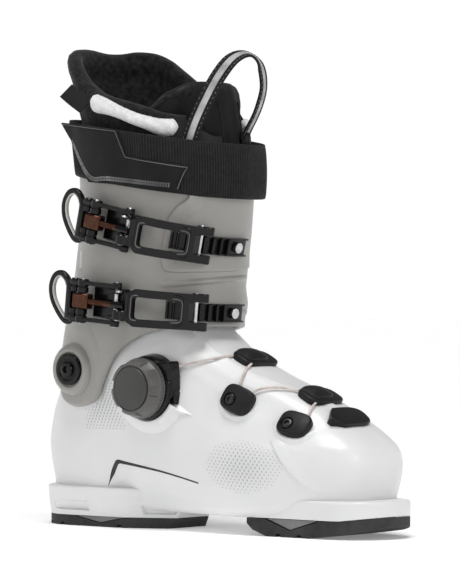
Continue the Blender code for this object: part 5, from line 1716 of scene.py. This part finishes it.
# ---------------------------------------------------------------- studio
def build_studio():
    """A wide pale floor, a surround that is bright at the horizon, and soft lamps."""
    bm = bmesh.new()
    bmesh.ops.create_circle(bm, cap_ends=True, segments=96, radius=60.0)
    floor = bpy.data.objects.new("floor", finish_mesh("floor", bm, 80.0))
    bpy.context.scene.collection.objects.link(floor)
    paper = Finish("pale_floor", srgb(248, 248, 248), 0.95, Emission_Color=(1.0, 1.0, 1.0, 1.0),
                   Emission_Strength=0.2)
    paper.shader.inputs["Specular IOR Level"].default_value = 0.0
    paper.vary_colour(paper.noise(3.0), 0.995, 1.0)
    floor.data.materials.append(paper.material)
    world = bpy.data.worlds.new("studio")
    world.use_nodes = True
    tree = world.node_tree
    direction = tree.nodes.new("ShaderNodeTexCoord").outputs["Generated"]
    split = tree.nodes.new("ShaderNodeSeparateXYZ")
    spread = tree.nodes.new("ShaderNodeMapRange")
    spread.interpolation_type = "SMOOTHSTEP"
    spread.inputs["From Min"].default_value = 0.08
    spread.inputs["From Max"].default_value = 0.4
    spread.inputs["To Min"].default_value = 1.02
    spread.inputs["To Max"].default_value = 0.18
    tree.links.new(direction, split.inputs["Vector"])
    tree.links.new(split.outputs["Z"], spread.inputs["Value"])
    tree.links.new(spread.outputs["Result"], tree.nodes["Background"].inputs["Strength"])
    tree.nodes["Background"].inputs["Color"].default_value = (1.0, 1.0, 1.0, 1.0)
    bpy.context.scene.world = world
    bpy.context.scene.view_settings.view_transform = "Standard"
    for name, kind, place, size, power in (("key", "AREA", (-0.5, -2.0, 1.6), 0.8, 5.0),
                                           ("side", "AREA", (2.2, -0.2, 1.0), 0.6, 7.0),
                                           ("top", "SUN", (0.5, -0.6, 3.0), 0.5, 2.0)):
        lamp = bpy.data.lights.new(name, kind)
        lamp.energy = power
        if kind == "AREA":
            lamp.shape = "DISK"
            lamp.size = size
        else:
            lamp.angle = size
        item = bpy.data.objects.new(name, lamp)
        item.location = place
        item.rotation_euler = (Vector((0.09, 0.0, 0.16)) - Vector(place)).to_track_quat("-Z", "Y").to_euler()
        bpy.context.scene.collection.objects.link(item)


def build_camera():
    lens = bpy.data.cameras.new("camera")
    lens.sensor_width = 36.0
    lens.lens = 195.3
    lens.shift_x = 0.0068
    lens.shift_y = 0.0306
    camera = bpy.data.objects.new("camera", lens)
    camera.location = (1.5061, -1.6853, 0.150)
    aim = Vector((0.092, 0.0, 0.150)) - Vector(camera.location)
    camera.rotation_euler = aim.to_track_quat("-Z", "Y").to_euler()
    bpy.context.scene.collection.objects.link(camera)
    bpy.context.scene.camera = camera


def clear_startup():
    """Removes what Blender's own start scene holds."""
    for item in list(bpy.context.scene.objects):
        if item.name in ("Cube", "Light", "Camera"):
            bpy.data.objects.remove(item)


clear_startup()
build_camera()
SHELL_SURFACE = build_shell()
build_shell_details(SHELL_SURFACE)
build_guides(SHELL_SURFACE)
build_lace()
build_dial()
build_sole()
CUFF_SURFACE = build_cuff()
build_cuff_details(CUFF_SURFACE)
build_strap()
build_strap_tab()
build_liner()
build_tongue()
build_trims()
build_tag()
build_pull_loop()
build_buckle("upper_buckle", UPPER_BUCKLE)
build_buckle("lower_buckle", LOWER_BUCKLE)
build_studio()
